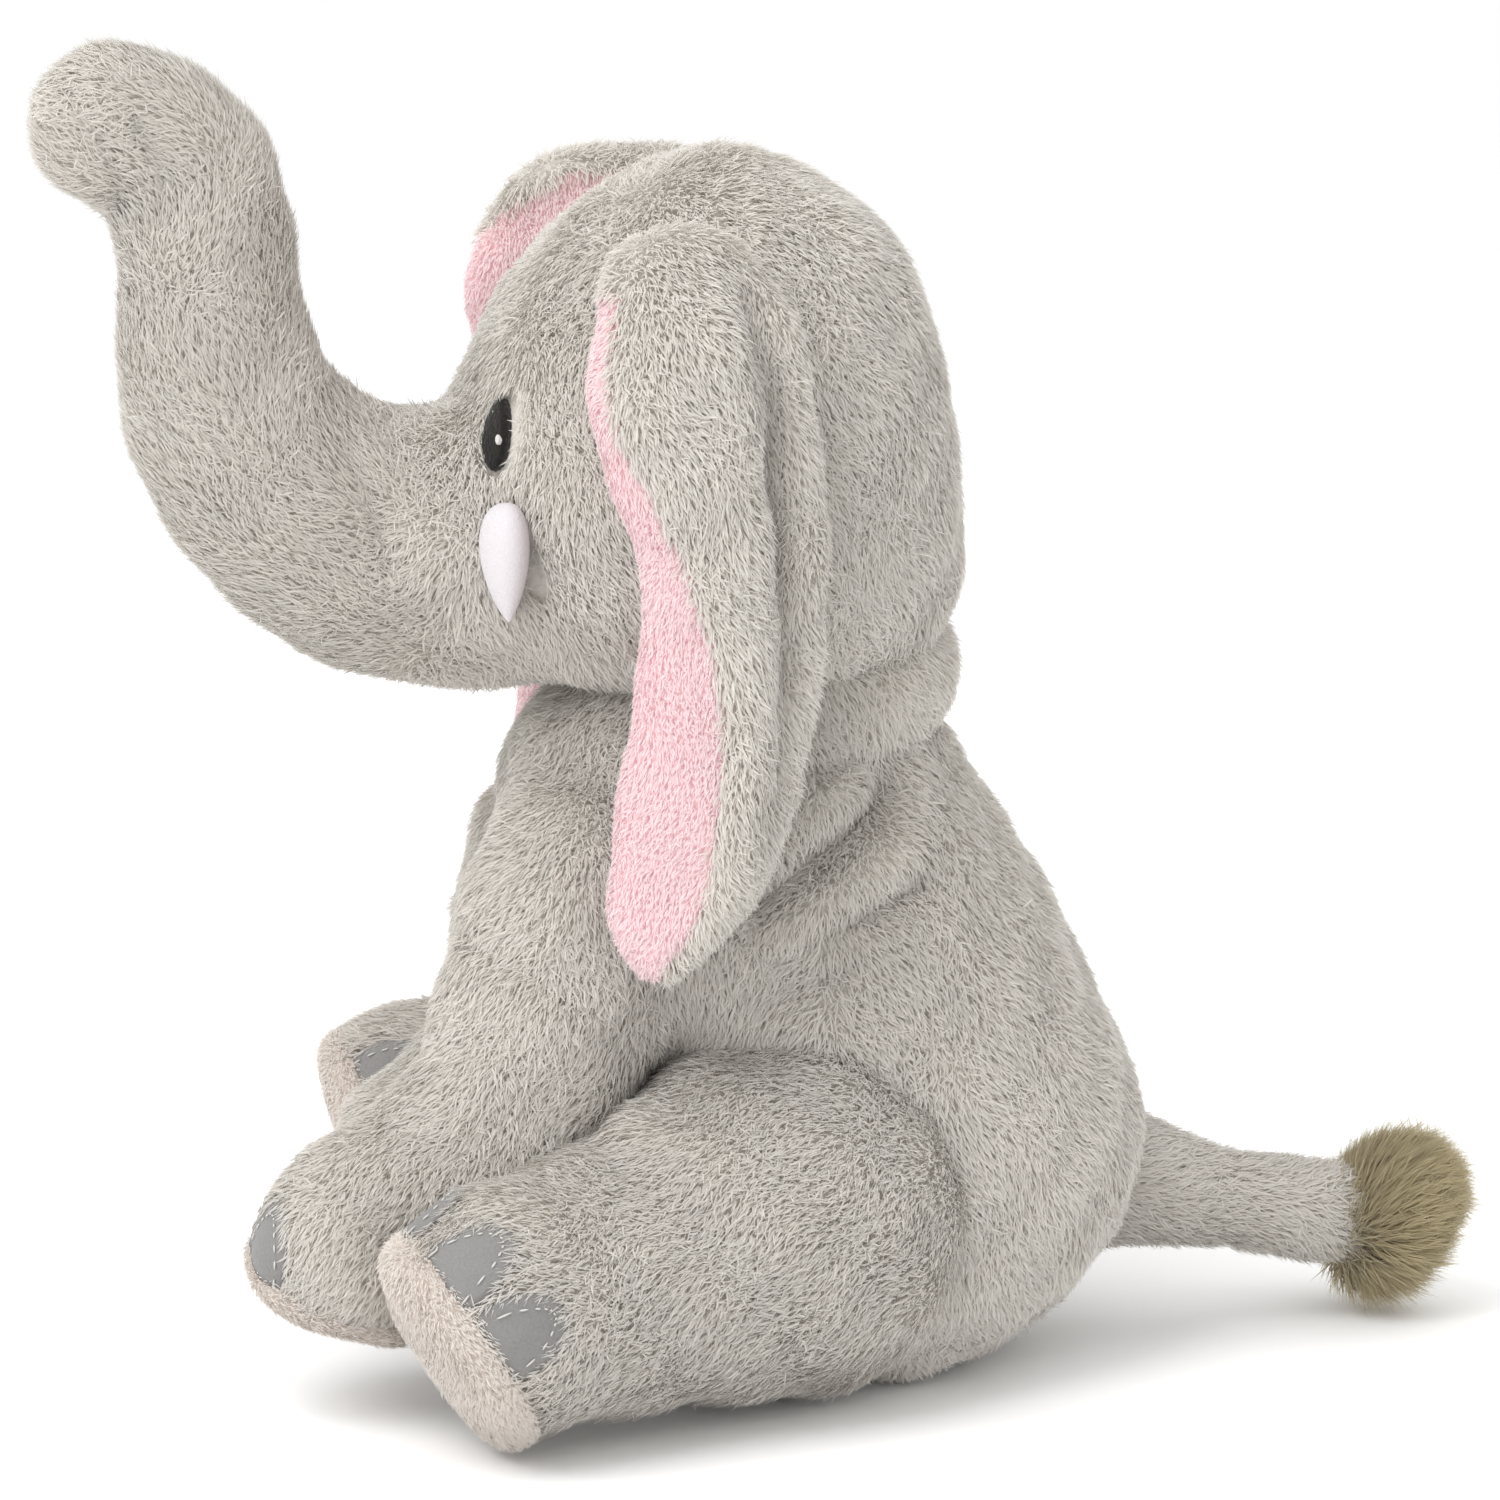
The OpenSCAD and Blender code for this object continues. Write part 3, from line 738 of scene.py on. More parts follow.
# %% Inside a tube or a stack of levels, and cutting
def in_tube(co, line, side, ease):
    """True inside the tube through the stations, ease mm inside (or outside, if negative)."""
    table = smooth_rows(line, 4) * MM
    near = np.linalg.norm(co[:, None] * [side, 1, 1] - table[None, :, :3], axis=2)
    return (near < table[None, :, 3] - ease * MM).any(1)


def in_levels(co, levels, ease):
    """True inside the solid of level rings, ease mm inside."""
    table = np.array(levels, float) * MM
    z = co[:, 2]
    front, back, wide = (np.interp(z, table[:, 0], table[:, k]) for k in (1, 2, 3))
    x = np.abs(co[:, 0]) / np.maximum(wide - ease * MM, 1e-4)
    y = np.abs(co[:, 1] - (front + back) / 2) / np.maximum((back - front) / 2 - ease * MM, 1e-4)
    inside = x ** SQUARENESS + y ** SQUARENESS < 1
    return inside & (z > table[0, 0]) & (z < table[-1, 0] - ease * MM)


def cut_off(thing, name, chosen):
    """Moves the faces whose middle is chosen into a new object, and closes both cut edges."""
    bm = bmesh.new()
    bm.from_mesh(thing.data)
    middles = np.array([face.calc_center_median() for face in bm.faces])
    take = chosen(middles)
    new = bm.copy()
    for mesh, unwanted in ((bm, take), (new, ~take)):
        mesh.faces.ensure_lookup_table()
        gone = [mesh.faces[k] for k in np.flatnonzero(unwanted)]
        bmesh.ops.delete(mesh, geom=gone, context="FACES")
        caps = bmesh.ops.holes_fill(mesh, edges=[e for e in mesh.edges if e.is_boundary])
        for face in caps["faces"]:
            face.smooth = False
    bm.to_mesh(thing.data)
    mesh = bpy.data.meshes.new(name)
    new.to_mesh(mesh)
    bm.free()
    new.free()
    return in_scene(name, mesh)


# %% Torso and forelegs filled together, then cut
torso = stuffed("torso_cover", [closed_mesh("torso", level_rings(TORSO_LEVELS))] + [
    closed_mesh("foreleg", path_rings(fore_line(side), side=side, flat=0.2)) for side in (1, -1)],
    rounds=7)
FOLDS = [
    ([(61, -16, 126), (58, 1, 138.6), (55, 13, 146), (50, 22, 155)], -5.5, 4.5),
    ([(60, -20, 133), (57, -3, 146), (52, 9, 153)], 3.2, 5),
    ([(65, -12, 112), (62, 8, 122.7), (58, 26, 131.4)], -4.0, 4),
    ([(63, -10, 119), (60, 8, 130), (56, 26, 139)], 2.6, 5),
    ([(67, -22, 103), (67, -7, 106.5), (65, 5, 111)], -3.0, 4),
    ([(44, 34, 160), (50, 10, 158), (52, -14, 156)], -2.5, 4),
]
raised(torso, [(half, rise, wide) for line, rise, wide in FOLDS for half in both_sides(line)]
       + [([(30, 34, 161), (0, 43, 162), (-30, 34, 161)], -2.5, 4),
          ([(0, 42, 165), (0, 66, 122), (0, 90, 77), (0, 94, 55)], -0.8, 2)], lumps=0.7)
forelegs = {}
for side, name in SIDES:
    cut = SHOULDER_CUT * [side, 1, 1]
    down = DOWN_THE_LEG * [side, 1, 1]
    forelegs[side] = cut_off(torso, f"foreleg_cover_{name}", lambda co: (
        (co - cut) @ down > 0) & in_tube(co, fore_line(side)[1:], side, -3))
dress(torso, GREY_CLOTH, "grey_plush", "belly_panel", "back_panel", "seat_panel", fill=0.75)
follow(torso, "torso")

# %% [markdown]
# ## Hind legs and tail
# A hind leg is a tube that starts as a broad disc on the hip and narrows behind the foot. It is sewn
# on at the hip, so it meets the torso in a clear crease. The two legs are filled one by one, as they
# don't lie quite alike. The tail is a thin tube that widens where it joins the back.

# %% Hind legs and tail
HIND_LINE = [  # x, y, z, radius
    (42, 6, 47, 43), (50, -4, 47.5, 47), (60, -22, 45, 44), (70, -43, 41, 37.5),
    (79, -60, 38, 33.5), (88.5, -80, 36.5, 31.5), (90.5, -92.5, 29.5, 30),
]
TAIL_LINE = [
    (0, 78, 41, 21), (0, 91, 38.5, 19), (0, 102, 35, 16.2), (0, 115, 31.8, 14.2),
    (0, 132, 29, 14), (0, 150, 26.5, 14), (0, 158, 25.5, 13.5),
]


HIND_SHIFT = np.array([-3, 5, 9, 0])  # the far hind foot is drawn back and up a little


def hind_line(side):
    """The hind leg's stations on the left (1) or right (-1), x still counted outwards."""
    line = np.array(HIND_LINE, float)
    if side < 0:
        line = line + HIND_SHIFT * np.linspace(0, 1, len(line))[:, None] ** 1.5
    return line


HIND_FOLDS = [([(64, -52, 66), (84, -52, 56), (100, -62, 40)], -1.4, 5),
              ([(96, -2, 60), (88, -30, 72), (74, -48, 68)], 0.8, 3)]
hindlegs = {}
for side, name in SIDES:
    hind = stuffed(f"hindleg_cover_{name}", [closed_mesh(
        "hindleg", path_rings(hind_line(side), points=40, flat=0.2, side=side))], rounds=3)
    raised(hind, [([(x * side, y, z) for x, y, z in line], rise, wide)
                  for line, rise, wide in HIND_FOLDS], lumps=0.7)
    hindlegs[side] = hind
for side, name in SIDES:
    for leg, kind in ((forelegs[side], "foreleg"), (hindlegs[side], "hindleg")):
        dress(leg, GREY_CLOTH, "grey_plush", f"{kind}_cover_{name}", fill=0.8)
    follow(hindlegs[side], f"hindleg_{name}")
tail = stuffed("tail_cover", [closed_mesh("tail", path_rings(TAIL_LINE, points=24))],
               voxel=3.0, rounds=2, cap=1.5)
raised(tail, [([(-14, 118, 22), (0, 116, 19), (14, 118, 22)], -1.2, 2.5)], lumps=0.4)
TAIL_MOVES = ("torso", "tail", dict(start=(0, 0.088, 0.037), end=(0, 0.118, 0.031)))
dress(tail, GREY_CLOTH, "grey_plush", "tail_cover", fill=0.6)
follow(tail, *TAIL_MOVES)


# %% Where each foreleg's bend would start and end; the legs are only baked in place
foreleg_moves = {}
for side, name in SIDES:
    mirror = np.array([side, 1, 1])
    start = (SHOULDER_CUT + DOWN_THE_LEG * 0.005) * mirror
    end = start + DOWN_THE_LEG * mirror * 0.03
    foreleg_moves[side] = ("torso", f"foreleg_{name}", dict(start=tuple(start), end=tuple(end)))
    follow(forelegs[side], *foreleg_moves[side])
    print("foreleg_" + name, "bends from", start.round(3), "to", end.round(3))

# %% [markdown]
# ## Soles and toenails
# A foot ends in a domed sole of cream plush, set in along a round seam. Just above the seam sit three
# nails of flat felt, each a rounded tongue held by a running stitch of pale thread. A nail is laid
# over the foot as a grid: across it turns about the foot's axis, along it moves up from the seam,
# and every point then drops onto the skin.

# %% Feet and soles
SOLE_DOME = {"foreleg": 6.5, "hindleg": 10.0}
NAIL_WIDTH, NAIL_LENGTH, FELT = 18.2, 18.0, 1.4
NAIL_TURNS = {  # degrees about the foot's axis, from its top towards the toy's left
    ("foreleg", 1): (-58, -14, 30), ("foreleg", -1): (58, 14, -30),
    ("hindleg", 1): (-81, -38, 22), ("hindleg", -1): (-50, -93, -136),
}


def foot_frame(kind, side):
    """Middle of the sole seam, way out of the foot, way to its side, way to its top, radius."""
    line = (fore_line if kind == "foreleg" else hind_line)(side) * [side, 1, 1, 1]
    way = unit(line[-1, :3] - line[-2, :3])
    across = unit(np.cross(way, [0.0, 0, 1]))
    return line[-1, :3] * MM, way, across, np.cross(across, way), line[-1, 3] - STAND


def sole_mesh(kind, side):
    """A dome: its height falls with the distance r from the middle as (1 - r^3)^(1/3)."""
    centre, way, across, up, radius = foot_frame(kind, side)
    r = np.sin(np.radians([4, 12, 22, 33, 45, 57, 68, 78, 86, 90, 90, 60]))
    lift = SOLE_DOME[kind] * (1 - r ** 3) ** (1 / 3)
    lift[-2:] = (-1.5, -2.5)
    turn = round_turn(48)
    ring = across * np.cos(turn)[:, None] + up * np.sin(turn)[:, None]
    rim = (radius + 1.2) * r
    rings = centre + (rim[:, None, None] * ring[None] + lift[:, None, None] * way) * MM
    return closed_mesh("sole", rings)


def on_skin(co, skin, lift):
    """Drops points onto the tangent plane of the skin's nearest point, and lifts them off it."""
    around, normals = points_of(skin), normals_of(skin)
    near = nearest(co, around)
    normal = normals[near]
    return co + normal * (lift[:, None] - ((co - around[near]) * normal).sum(1, keepdims=True))


# %% Nails
def nail_point(kind, side, turn, u, v):
    """Point of a nail: u runs -1 to 1 across, v 0 to 1 from the seam to the rounded end, whose
    outline is |u|^2.4 + v^3 = 1 squeezed towards the end."""
    centre, way, across, up, radius = foot_frame(kind, side)
    half = (1 - np.clip(v, 0, 1) ** 2.6) ** 0.5
    angle = math.radians(turn) + u * half * NAIL_WIDTH / 2 / radius
    around = across * np.sin(angle)[:, None] + up * np.cos(angle)[:, None]
    back = 1.0 + v * NAIL_LENGTH
    return centre + (around * radius - way * back[:, None]) * MM


def near_nails(co, side, kind):
    """True under or right beside a nail."""
    centre, way, across, up, radius = foot_frame(kind, side)
    off = (co - centre) / MM
    back = -(off @ way)
    angle = np.degrees(np.arctan2(off @ across, off @ up))
    found = np.zeros(len(co), bool)
    for turn in NAIL_TURNS[kind, side]:
        arc = np.radians((angle - turn + 180) % 360 - 180) * radius
        along = np.clip(back / (NAIL_LENGTH + 1.0), 0, 2)
        shape = np.abs(arc / (NAIL_WIDTH / 2 + 0.3)) ** 2 + along ** 2.6
        found |= (shape < 1) & (back > -4) & (back < NAIL_LENGTH + 3)
    return found


def slab(name, co, shape, thick, normals):
    """Closed mesh of a grid of points with a thickness: top, bottom and a wall all round."""
    m, n = shape
    count = m * n
    j, i = np.meshgrid(np.arange(m - 1), np.arange(n - 1), indexing="ij")
    a = (j * n + i).ravel()
    top = np.stack([a, a + 1, a + n + 1, a + n], -1)
    rim = np.concatenate([np.arange(n), np.arange(1, m) * n + n - 1,
                          (m - 1) * n + np.arange(n - 2, -1, -1), np.arange(m - 2, 0, -1) * n])
    after = np.roll(rim, -1)
    wall = np.stack([rim, rim + count, after + count, after], -1)
    faces = np.concatenate([top, top[:, ::-1] + count, wall])
    co = np.concatenate([co, co - normals * thick])
    co[:, 2] = np.maximum(co[:, 2], TABLE_GAP)
    return solid(name, co, faces.tolist())


def nails_mesh(kind, side, skin):
    """Three felt nails that lie on the skin, a little domed."""
    u, v = np.meshgrid(np.linspace(-1, 1, 15), np.linspace(0, 0.999, 13))
    u, v = u.ravel(), v.ravel()
    made = []
    for turn in NAIL_TURNS[kind, side]:
        flat = nail_point(kind, side, turn, u, v)
        lift = (2.3 + 0.7 * (1 - u ** 2) * (1 - v ** 4)) * MM
        top = on_skin(flat, skin, lift)
        base = on_skin(flat, skin, lift * 0)
        made.append(slab("nail", top, (13, 15), FELT * MM, unit(top - base)))
    return made


# %% Stitches
def stitch_meshes(kind, side, skin):
    """Running stitches: each is a small spindle along the nail's edge, half sunk in the felt."""
    made = []
    t = np.linspace(-1, 1, 7)[:, None, None]
    turn = round_turn(6)[None, :, None]
    for nail in NAIL_TURNS[kind, side]:
        for place in np.linspace(-0.96, 0.96, 13):
            s = np.clip(place + np.array([-0.042, 0.042]), -1, 1)
            v = 0.84 * (1 - np.abs(s) ** 2.2)
            u = np.sign(s) * np.abs(s) ** 0.8 * 0.82
            ends = on_skin(nail_point(kind, side, nail, u, v), skin, np.full(2, 3.0) * MM)
            way, middle = (ends[1] - ends[0]) / 2, ends.mean(0)
            normal = unit(middle - foot_frame(kind, side)[0])
            across = unit(np.cross(way, normal))
            girth = 0.26 * MM * np.sqrt(1.04 - t ** 2)
            rings = middle + way * t + girth * (across * np.cos(turn) + np.cross(across, unit(way))
                                                * np.sin(turn))
            made.append(closed_mesh("stitch", rings))
    return made


# %% Soles, nails and stitches of the four feet
for side, name in SIDES:
    for kind, leg in (("foreleg", forelegs[side]), ("hindleg", hindlegs[side])):
        centre, way, _, up, _ = foot_frame(kind, side)
        sole = joined(f"{kind}_sole_{name}", [sole_mesh(kind, side)])
        sole.modifiers.new("round", "SUBSURF").levels = 1
        applied(sole)
        raised(sole, [], lumps=0.5)
        nails = joined(f"{kind}_nails_{name}", nails_mesh(kind, side, leg.data))
        stitches = joined(f"{kind}_stitches_{name}", stitch_meshes(kind, side, leg.data))
        dress(sole, CREAM_CLOTH, "cream_plush", f"{kind}_sole_{name}", fill=0.6)
        dress(nails, FELT_FINISH, "grey_felt", f"{kind}_nails_{name}")
        dress(stitches, WHITE_THREAD, "white_thread")
        for piece in (sole, nails, stitches):
            piece.data.shade_smooth()
            follow(piece, f"{kind}_{name}")
        coat(f"{kind}_sole_pile_{name}", sole, flow(*-up), 80 + side, (f"{kind}_{name}",),
             keep=lambda co: (co - centre) @ way > -0.001, kind="short", finish=CREAM_PILE,
             slot="cream_plush")

# %% [markdown]
# ## Ears
# Each ear is a long padded flap. It leaves the side of the crown, rolls forward over its pink lining
# and falls in two folds to a rounded tip beside the shoulder. A few level sections hold that shape:
# nine points go round each one, from the lining's root out to the seam, over the front roll, into
# the valley between the folds and back to the head.

# %% Ear shapes
# Around each section: the lining's root, its front edge, the seam, the front roll, the first fold,
# the valley, the second ridge, the rear edge and the root at the back (x outwards, y to the rear)
EAR_SECTIONS = {  # height: nine points x, y
    288: [(60, -44), (64, -47), (69, -46), (71, -40), (70, -33),
          (66, -28), (64, -27), (62, -28), (58, -36)],
    283: [(58, -50), (67, -54), (75, -52), (79, -43), (78, -30),
          (72, -25), (69, -19), (60, -18), (52, -34)],
    268: [(62, -52), (76, -60), (85, -57), (90, -42), (89, -25),
          (73, -21), (78, -12), (69, -9), (54, -26)],
    250: [(64, -50), (80, -62.5), (89, -58), (95, -41), (93, -22.5),
          (71, -20), (81, -9), (72, -5), (58, -20)],
    230: [(64, -46), (82, -58.5), (91, -50.5), (96, -36), (94, -21.5),
          (71, -19), (82, -8), (74, -2.5), (60, -15)],
    210: [(64, -41), (82, -51), (92, -43.5), (97, -31), (94, -20.5),
          (72, -18), (82, -8), (75, -2.5), (60, -15)],
    190: [(64, -40), (80, -51), (93, -36), (98, -28), (95, -20),
          (74, -17), (83, -8), (76, -3), (60, -15)],
    168: [(64, -40), (78, -54.5), (94, -34.5), (99, -28), (97, -20.5),
          (79, -18), (85, -11), (78, -6), (64, -16)],
    145: [(66, -46), (79, -57), (95, -36), (100, -30), (99, -24),
          (88, -21), (89, -17), (82, -14), (68, -24)],
    128: [(70, -50), (80, -57.5), (95, -41.5), (98, -36), (97, -31),
          (92, -28), (89, -26.5), (84, -25), (72, -34)],
    118: [(76, -50), (82, -54), (92, -48), (94, -43.5), (93, -40),
          (90, -37.5), (87, -36), (83, -36), (77, -42)],
    112: [(82, -48), (84, -49.5), (88, -48), (89, -45.5), (88.5, -44),
          (87, -42.5), (86, -42), (84, -42.5), (82, -45)],
}
FAR_EAR_TOP = {  # the far ear opens forwards and shows its lining over the crown
    288: [(58, -22), (64, -40), (70, -42), (74, -36), (72, -22),
          (67, -12), (64, -8), (60, -6), (54, -14)],
    283: [(54, -24), (66, -51), (76, -52), (80, -42), (78, -22),
          (72, -12), (68, -4), (60, -2), (50, -14)],
    268: [(54, -26), (72, -61), (84, -61), (90, -46), (88, -24),
          (76, -14), (77, -6), (69, -3), (52, -16)],
    250: [(60, -34), (76, -66), (88, -63), (95, -45), (92, -24),
          (78, -16), (80, -8), (72, -4), (58, -18)],
}
FAR_EAR_LIFT = 9  # the far ear stands a little higher, mm at its top
EAR_INSET = 3.2  # how far the ear's cloth lies under the tips of its pile, mm


# %% Ear rings
def ear_rings(side):
    """Closed rings through the sections: a Catmull-Rom curve round each, and from each to the
    next, drawn in towards the section's middle."""
    drawn = EAR_SECTIONS if side > 0 else EAR_SECTIONS | FAR_EAR_TOP
    heights = np.array(list(drawn))
    table = np.concatenate([heights[:, None], np.array(
        [drawn[h] for h in heights], float).reshape(len(heights), -1)], 1)
    table = smooth_rows(table, 4)
    z, sections = table[:, 0], table[:, 1:].reshape(len(table), 9, 2)
    a, b, c, d = (np.roll(sections, -k, axis=1)[:, :, None] for k in (-1, 0, 1, 2))
    t = (np.arange(6) / 6)[None, None, :, None]
    ring = 0.5 * (2 * b + (c - a) * t + (2 * a - 5 * b + 4 * c - d) * t ** 2
                  + (3 * b - a - 3 * c + d) * t ** 3)
    ring = ring.reshape(len(table), -1, 2)
    middle = ring.mean(1, keepdims=True)
    reach = np.linalg.norm(ring - middle, axis=2, keepdims=True)
    ring = middle + (ring - middle) * np.maximum(1 - EAR_INSET / np.maximum(reach, 1e-6), 0.25)
    lift = FAR_EAR_LIFT * (side < 0) * np.clip((z - 200) / 80, 0, 1)
    flat = np.concatenate([ring, np.broadcast_to((z + lift)[:, None, None], ring[..., :1].shape)], 2)
    return flat * [side, 1, 1] * MM


# %% Ears and linings
LINING_TO = 12  # ring points from the lining's root to the seam


def is_lining(co, side):
    """True where the nearest ring point of the ear belongs to the lining."""
    rings = ear_rings(side)
    index = nearest(co, rings.reshape(-1, 3)) % rings.shape[1]
    z = co[:, 2]
    if side > 0:
        return (index < LINING_TO + 2 * np.clip((0.235 - z) / 0.03, 0, 1)) & (z < 0.275)
    return (index < np.clip((0.306 - z) / 0.0035, 0, LINING_TO)) & (z < 0.292)


ears, linings = {}, {}
for side, name in SIDES:
    ear = stuffed(f"ear_outer_{name}", [closed_mesh("ear", ear_rings(side))], voxel=3.2, rounds=1,
                  pressure=2.0, cap=1.0)
    raised(ear, [], lumps=0.5)
    lining = in_scene(f"ear_lining_{name}", ear.data.copy())
    outer = cut_off(lining, "scrap", lambda co: ~is_lining(co, side))
    bpy.data.objects.remove(outer)
    move_points(lining.data, points_of(lining.data) + normals_of(lining.data) * 0.0004)
    dress(ear, GREY_CLOTH, "grey_plush", f"ear_outer_{name}", fill=0.4)
    dress(lining, PINK_CLOTH, "pink_plush", f"ear_lining_{name}")
    follow(ear, f"ear_{name}")
    follow(lining, f"ear_{name}")
    ears[side], linings[side] = ear, lining

# %% [markdown]
# ## Pile of every cover
# The nap of a panel follows the way it was cut: down the torso, down the legs to the feet, down and
# back on the ears, along the tail. Roots that lie inside a neighbour, under an eye or under a nail
# are left out, because no one sees them.

# %% Nap of the head and trunk
TRUNK_NAP = smooth_rows([row[1:3] for row in TRUNK_LINE + arc], 4) * MM


def head_nap(co):
    """Down and back on the head; along the line of the trunk, towards its tip, on the trunk."""
    here = np.linalg.norm(co[:, None, 1:] - TRUNK_NAP[None], axis=2).argmin(1)
    way = np.gradient(TRUNK_NAP, axis=0)[here]
    along = np.stack([np.zeros(len(co)), way[:, 0], way[:, 1]], -1)
    down = np.array([0.0, 0.45, -1.0]) + np.stack([co[:, 0] * 8, co[:, 0] * 0, co[:, 0] * 0], -1)
    share = np.clip((-0.075 - co[:, 1:2]) / 0.03, 0, 1)
    return unit(down) * (1 - share) + unit(along) * share


EYE_AT, EYE_WIDE, EYE_HIGH = (28.5, 237.5), 7.8, 17.0
TUSK_AT, TUSK_HIGH, TUSK_WIDE, TUSK_THICK = (38, 207.5), 29.0, 17.0, 10.5


def bare(co):
    """True under an eye or the root of a tusk: an upright oval on the face."""
    x, z = np.abs(co[:, 0]) / MM, co[:, 2] / MM
    eye = (((x - EYE_AT[0] - 0.8) / (EYE_WIDE / 2 + 2.0)) ** 2
           + ((z - EYE_AT[1] - 1.5) / (EYE_HIGH / 2 + 2.2)) ** 2)
    tusk = ((x - TUSK_AT[0] + 1.5) / 2.5) ** 2 + ((z - TUSK_AT[1] - 1) / 10) ** 2
    return ((eye < 1) | (tusk < 1)) & (co[:, 1] < -0.03)


def on_head(co):
    """True on the head itself, where neither the trunk leaves it nor the neck lies on it."""
    return (co[:, 1] >= TRUNK_FROM) & ~in_levels(co, TORSO_LEVELS, 8)


# %% Pile of the head and trunk
TRUNK_FROM, CROWN_FROM = -0.0835, -0.013  # how far back the trunk's and the face's pile reach
coat("face_pile", head, head_nap, 11, HEAD_MOVES,
     keep=lambda co: on_head(co) & (co[:, 1] < CROWN_FROM) & ~bare(co))
coat("crown_pile", head, head_nap, 12, HEAD_MOVES,
     keep=lambda co: on_head(co) & (co[:, 1] >= CROWN_FROM))
coat("trunk_pile", head, head_nap, 13, HEAD_MOVES, keep=lambda co: co[:, 1] < TRUNK_FROM)

# %% Pile of torso, legs, ears and tail
def torso_seen(co):
    """True where no leg, head or tail covers the torso."""
    hind = in_tube(co, hind_line(1), 1, 8) | in_tube(co, hind_line(-1), -1, 8)
    fore = in_tube(co, fore_line(1)[2:], 1, 8) | in_tube(co, fore_line(-1)[2:], -1, 8)
    return ~(hind | fore | in_levels(co, HEAD_LEVELS, 8) | in_tube(co, TAIL_LINE, 1, 7))


coat("belly_pile", torso, flow(0, -0.25, -1), 21, ("torso",),
     keep=lambda co: torso_seen(co) & (co[:, 1] < 0.0))
coat("back_pile", torso, flow(0, 0.3, -1), 22, ("torso",),
     keep=lambda co: torso_seen(co) & (co[:, 1] >= 0.0))
for side, name in SIDES:
    out = np.array([side, 1, 1])
    coat(f"foreleg_pile_{name}", forelegs[side], flow(*(np.array([0.1, -0.55, -0.8]) * out)),
         30 + side, foreleg_moves[side],
         keep=lambda co: ((co - SHOULDER_CUT * out) @ (DOWN_THE_LEG * out) > -0.001)
         & ~near_nails(co, side, "foreleg"))
    coat(f"hindleg_pile_{name}", hindlegs[side], flow(*(np.array([0.4, -0.85, -0.35]) * out)),
         40 + side, (f"hindleg_{name}",),
         keep=lambda co: ~in_levels(co, TORSO_LEVELS, 9) & ~near_nails(co, side, "hindleg"))
    coat(f"ear_pile_{name}", ears[side], flow(0.15 * side, 0.35, -1), 50 + side,
         (f"ear_{name}",), keep=lambda co: ~is_lining(co, side) & ~in_levels(co, HEAD_LEVELS, 8))
    coat(f"lining_pile_{name}", linings[side], flow(0.1 * side, -0.1, -1), 60 + side,
         (f"ear_{name}",), kind="short", finish=PINK_PILE, slot="pink_plush",
         keep=lambda co: is_lining(co, side) & ~in_levels(co, HEAD_LEVELS, 8))
coat("tail_pile", tail, flow(0, 1, -0.15), 71, TAIL_MOVES,
     keep=lambda co: ~in_levels(co, TORSO_LEVELS, 3 + STAND) & (co[:, 1] < 0.158))

# %% [markdown]
# ## Eyes and tusks
# The eyes are satin stitch: black thread laid side by side in an upright oval, with a dot of white
# stitches at the rear edge. So each eye is a low dome with a fine ridge for every few threads. The
# tusks are little leaf-shaped pads of white velour, sewn to the cheeks along their back edge.

# %% Places on the face
THREAD = 0.75  # width of a ridge of stitches, mm


def face_point(x, z):
    """A point on the front of the head's level rings at x and height z, in mm."""
    table = np.array(HEAD_LEVELS, float)[::-1]
    front, back, wide = (np.interp(z, table[:, 0], table[:, k]) for k in (1, 2, 3))
    bulge = (1 - np.abs(x / wide) ** SQUARENESS) ** (1 / SQUARENESS)
    return np.stack([x, (front + back) / 2 - (back - front) / 2 * bulge, z], -1)


def face_turn(x, z):
    """Outward turn of the face at x, in radians from straight ahead."""
    first, second = face_point(np.array([x - 1.0, x + 1.0]), np.full(2, float(z)))
    return math.atan2(second[1] - first[1], second[0] - first[0])


def dome_on_face(name, x0, z0, wide, high, lift, dome, ridges, rings=14, points=56, jag=0.0):
    """Oval dome on the face: lift + dome (1 - r^2)^0.5 above the skin, with stitched ridges."""
    r = np.concatenate([np.linspace(0.06, 1, rings), [1.0, 0.6]])[:, None]
    a = round_turn(points)[None]
    edge = 1 + jag * np.sin(a * 23) * (r > 0.9)
    u, v = r * edge * np.cos(a), r * edge * np.sin(a)
    turn = face_turn(x0, z0)
    x, z = x0 + u * wide / 2 * math.cos(turn) - v * high / 8, z0 + v * high / 2
    flat = face_point(x.ravel(), z.ravel()) * MM
    height = lift + dome * np.sqrt(np.clip(1 - r ** 2, 0, 1)) + ridges * np.sin(
        (v * high / 2 + u * wide / 8) * 2 * np.pi / THREAD)
    height[-2:] = 0.2
    co = on_skin(flat, head.data, height.ravel() * MM)
    return closed_mesh(name, co.reshape(len(r), points, 3))


def pair_on_head(name, mesh, finish, slot):
    """A left piece and its mirror image, whose faces are turned back outwards."""
    left = joined(name + "_left", [mesh])
    right = in_scene(name + "_right", left.data.copy())
    right.data.name = name + "_right"
    move_points(right.data, points_of(right.data) * [-1, 1, 1])
    right.data.flip_normals()
    for thing, side in ((right, "_right"), (left, "_left")):
        thing.data.shade_smooth()
        dress(thing, finish, slot, name + side)
        follow(thing, "head")
    print(name, len(left.data.polygons), "faces on each side")


# %% Eyes
eye = dome_on_face("eye", *EYE_AT, EYE_WIDE, EYE_HIGH, 2.6, 0.9, 0.12, jag=0.03)
glint = dome_on_face("glint", EYE_AT[0] + 3.1, EYE_AT[1] - 1.2, 1.5, 2.4, 3.6, 0.3, 0.03,
                     rings=6, points=24)
pair_on_head("eye", eye, BLACK_THREAD, "black_thread")
pair_on_head("eye_glint", glint, WHITE_THREAD, "white_thread")


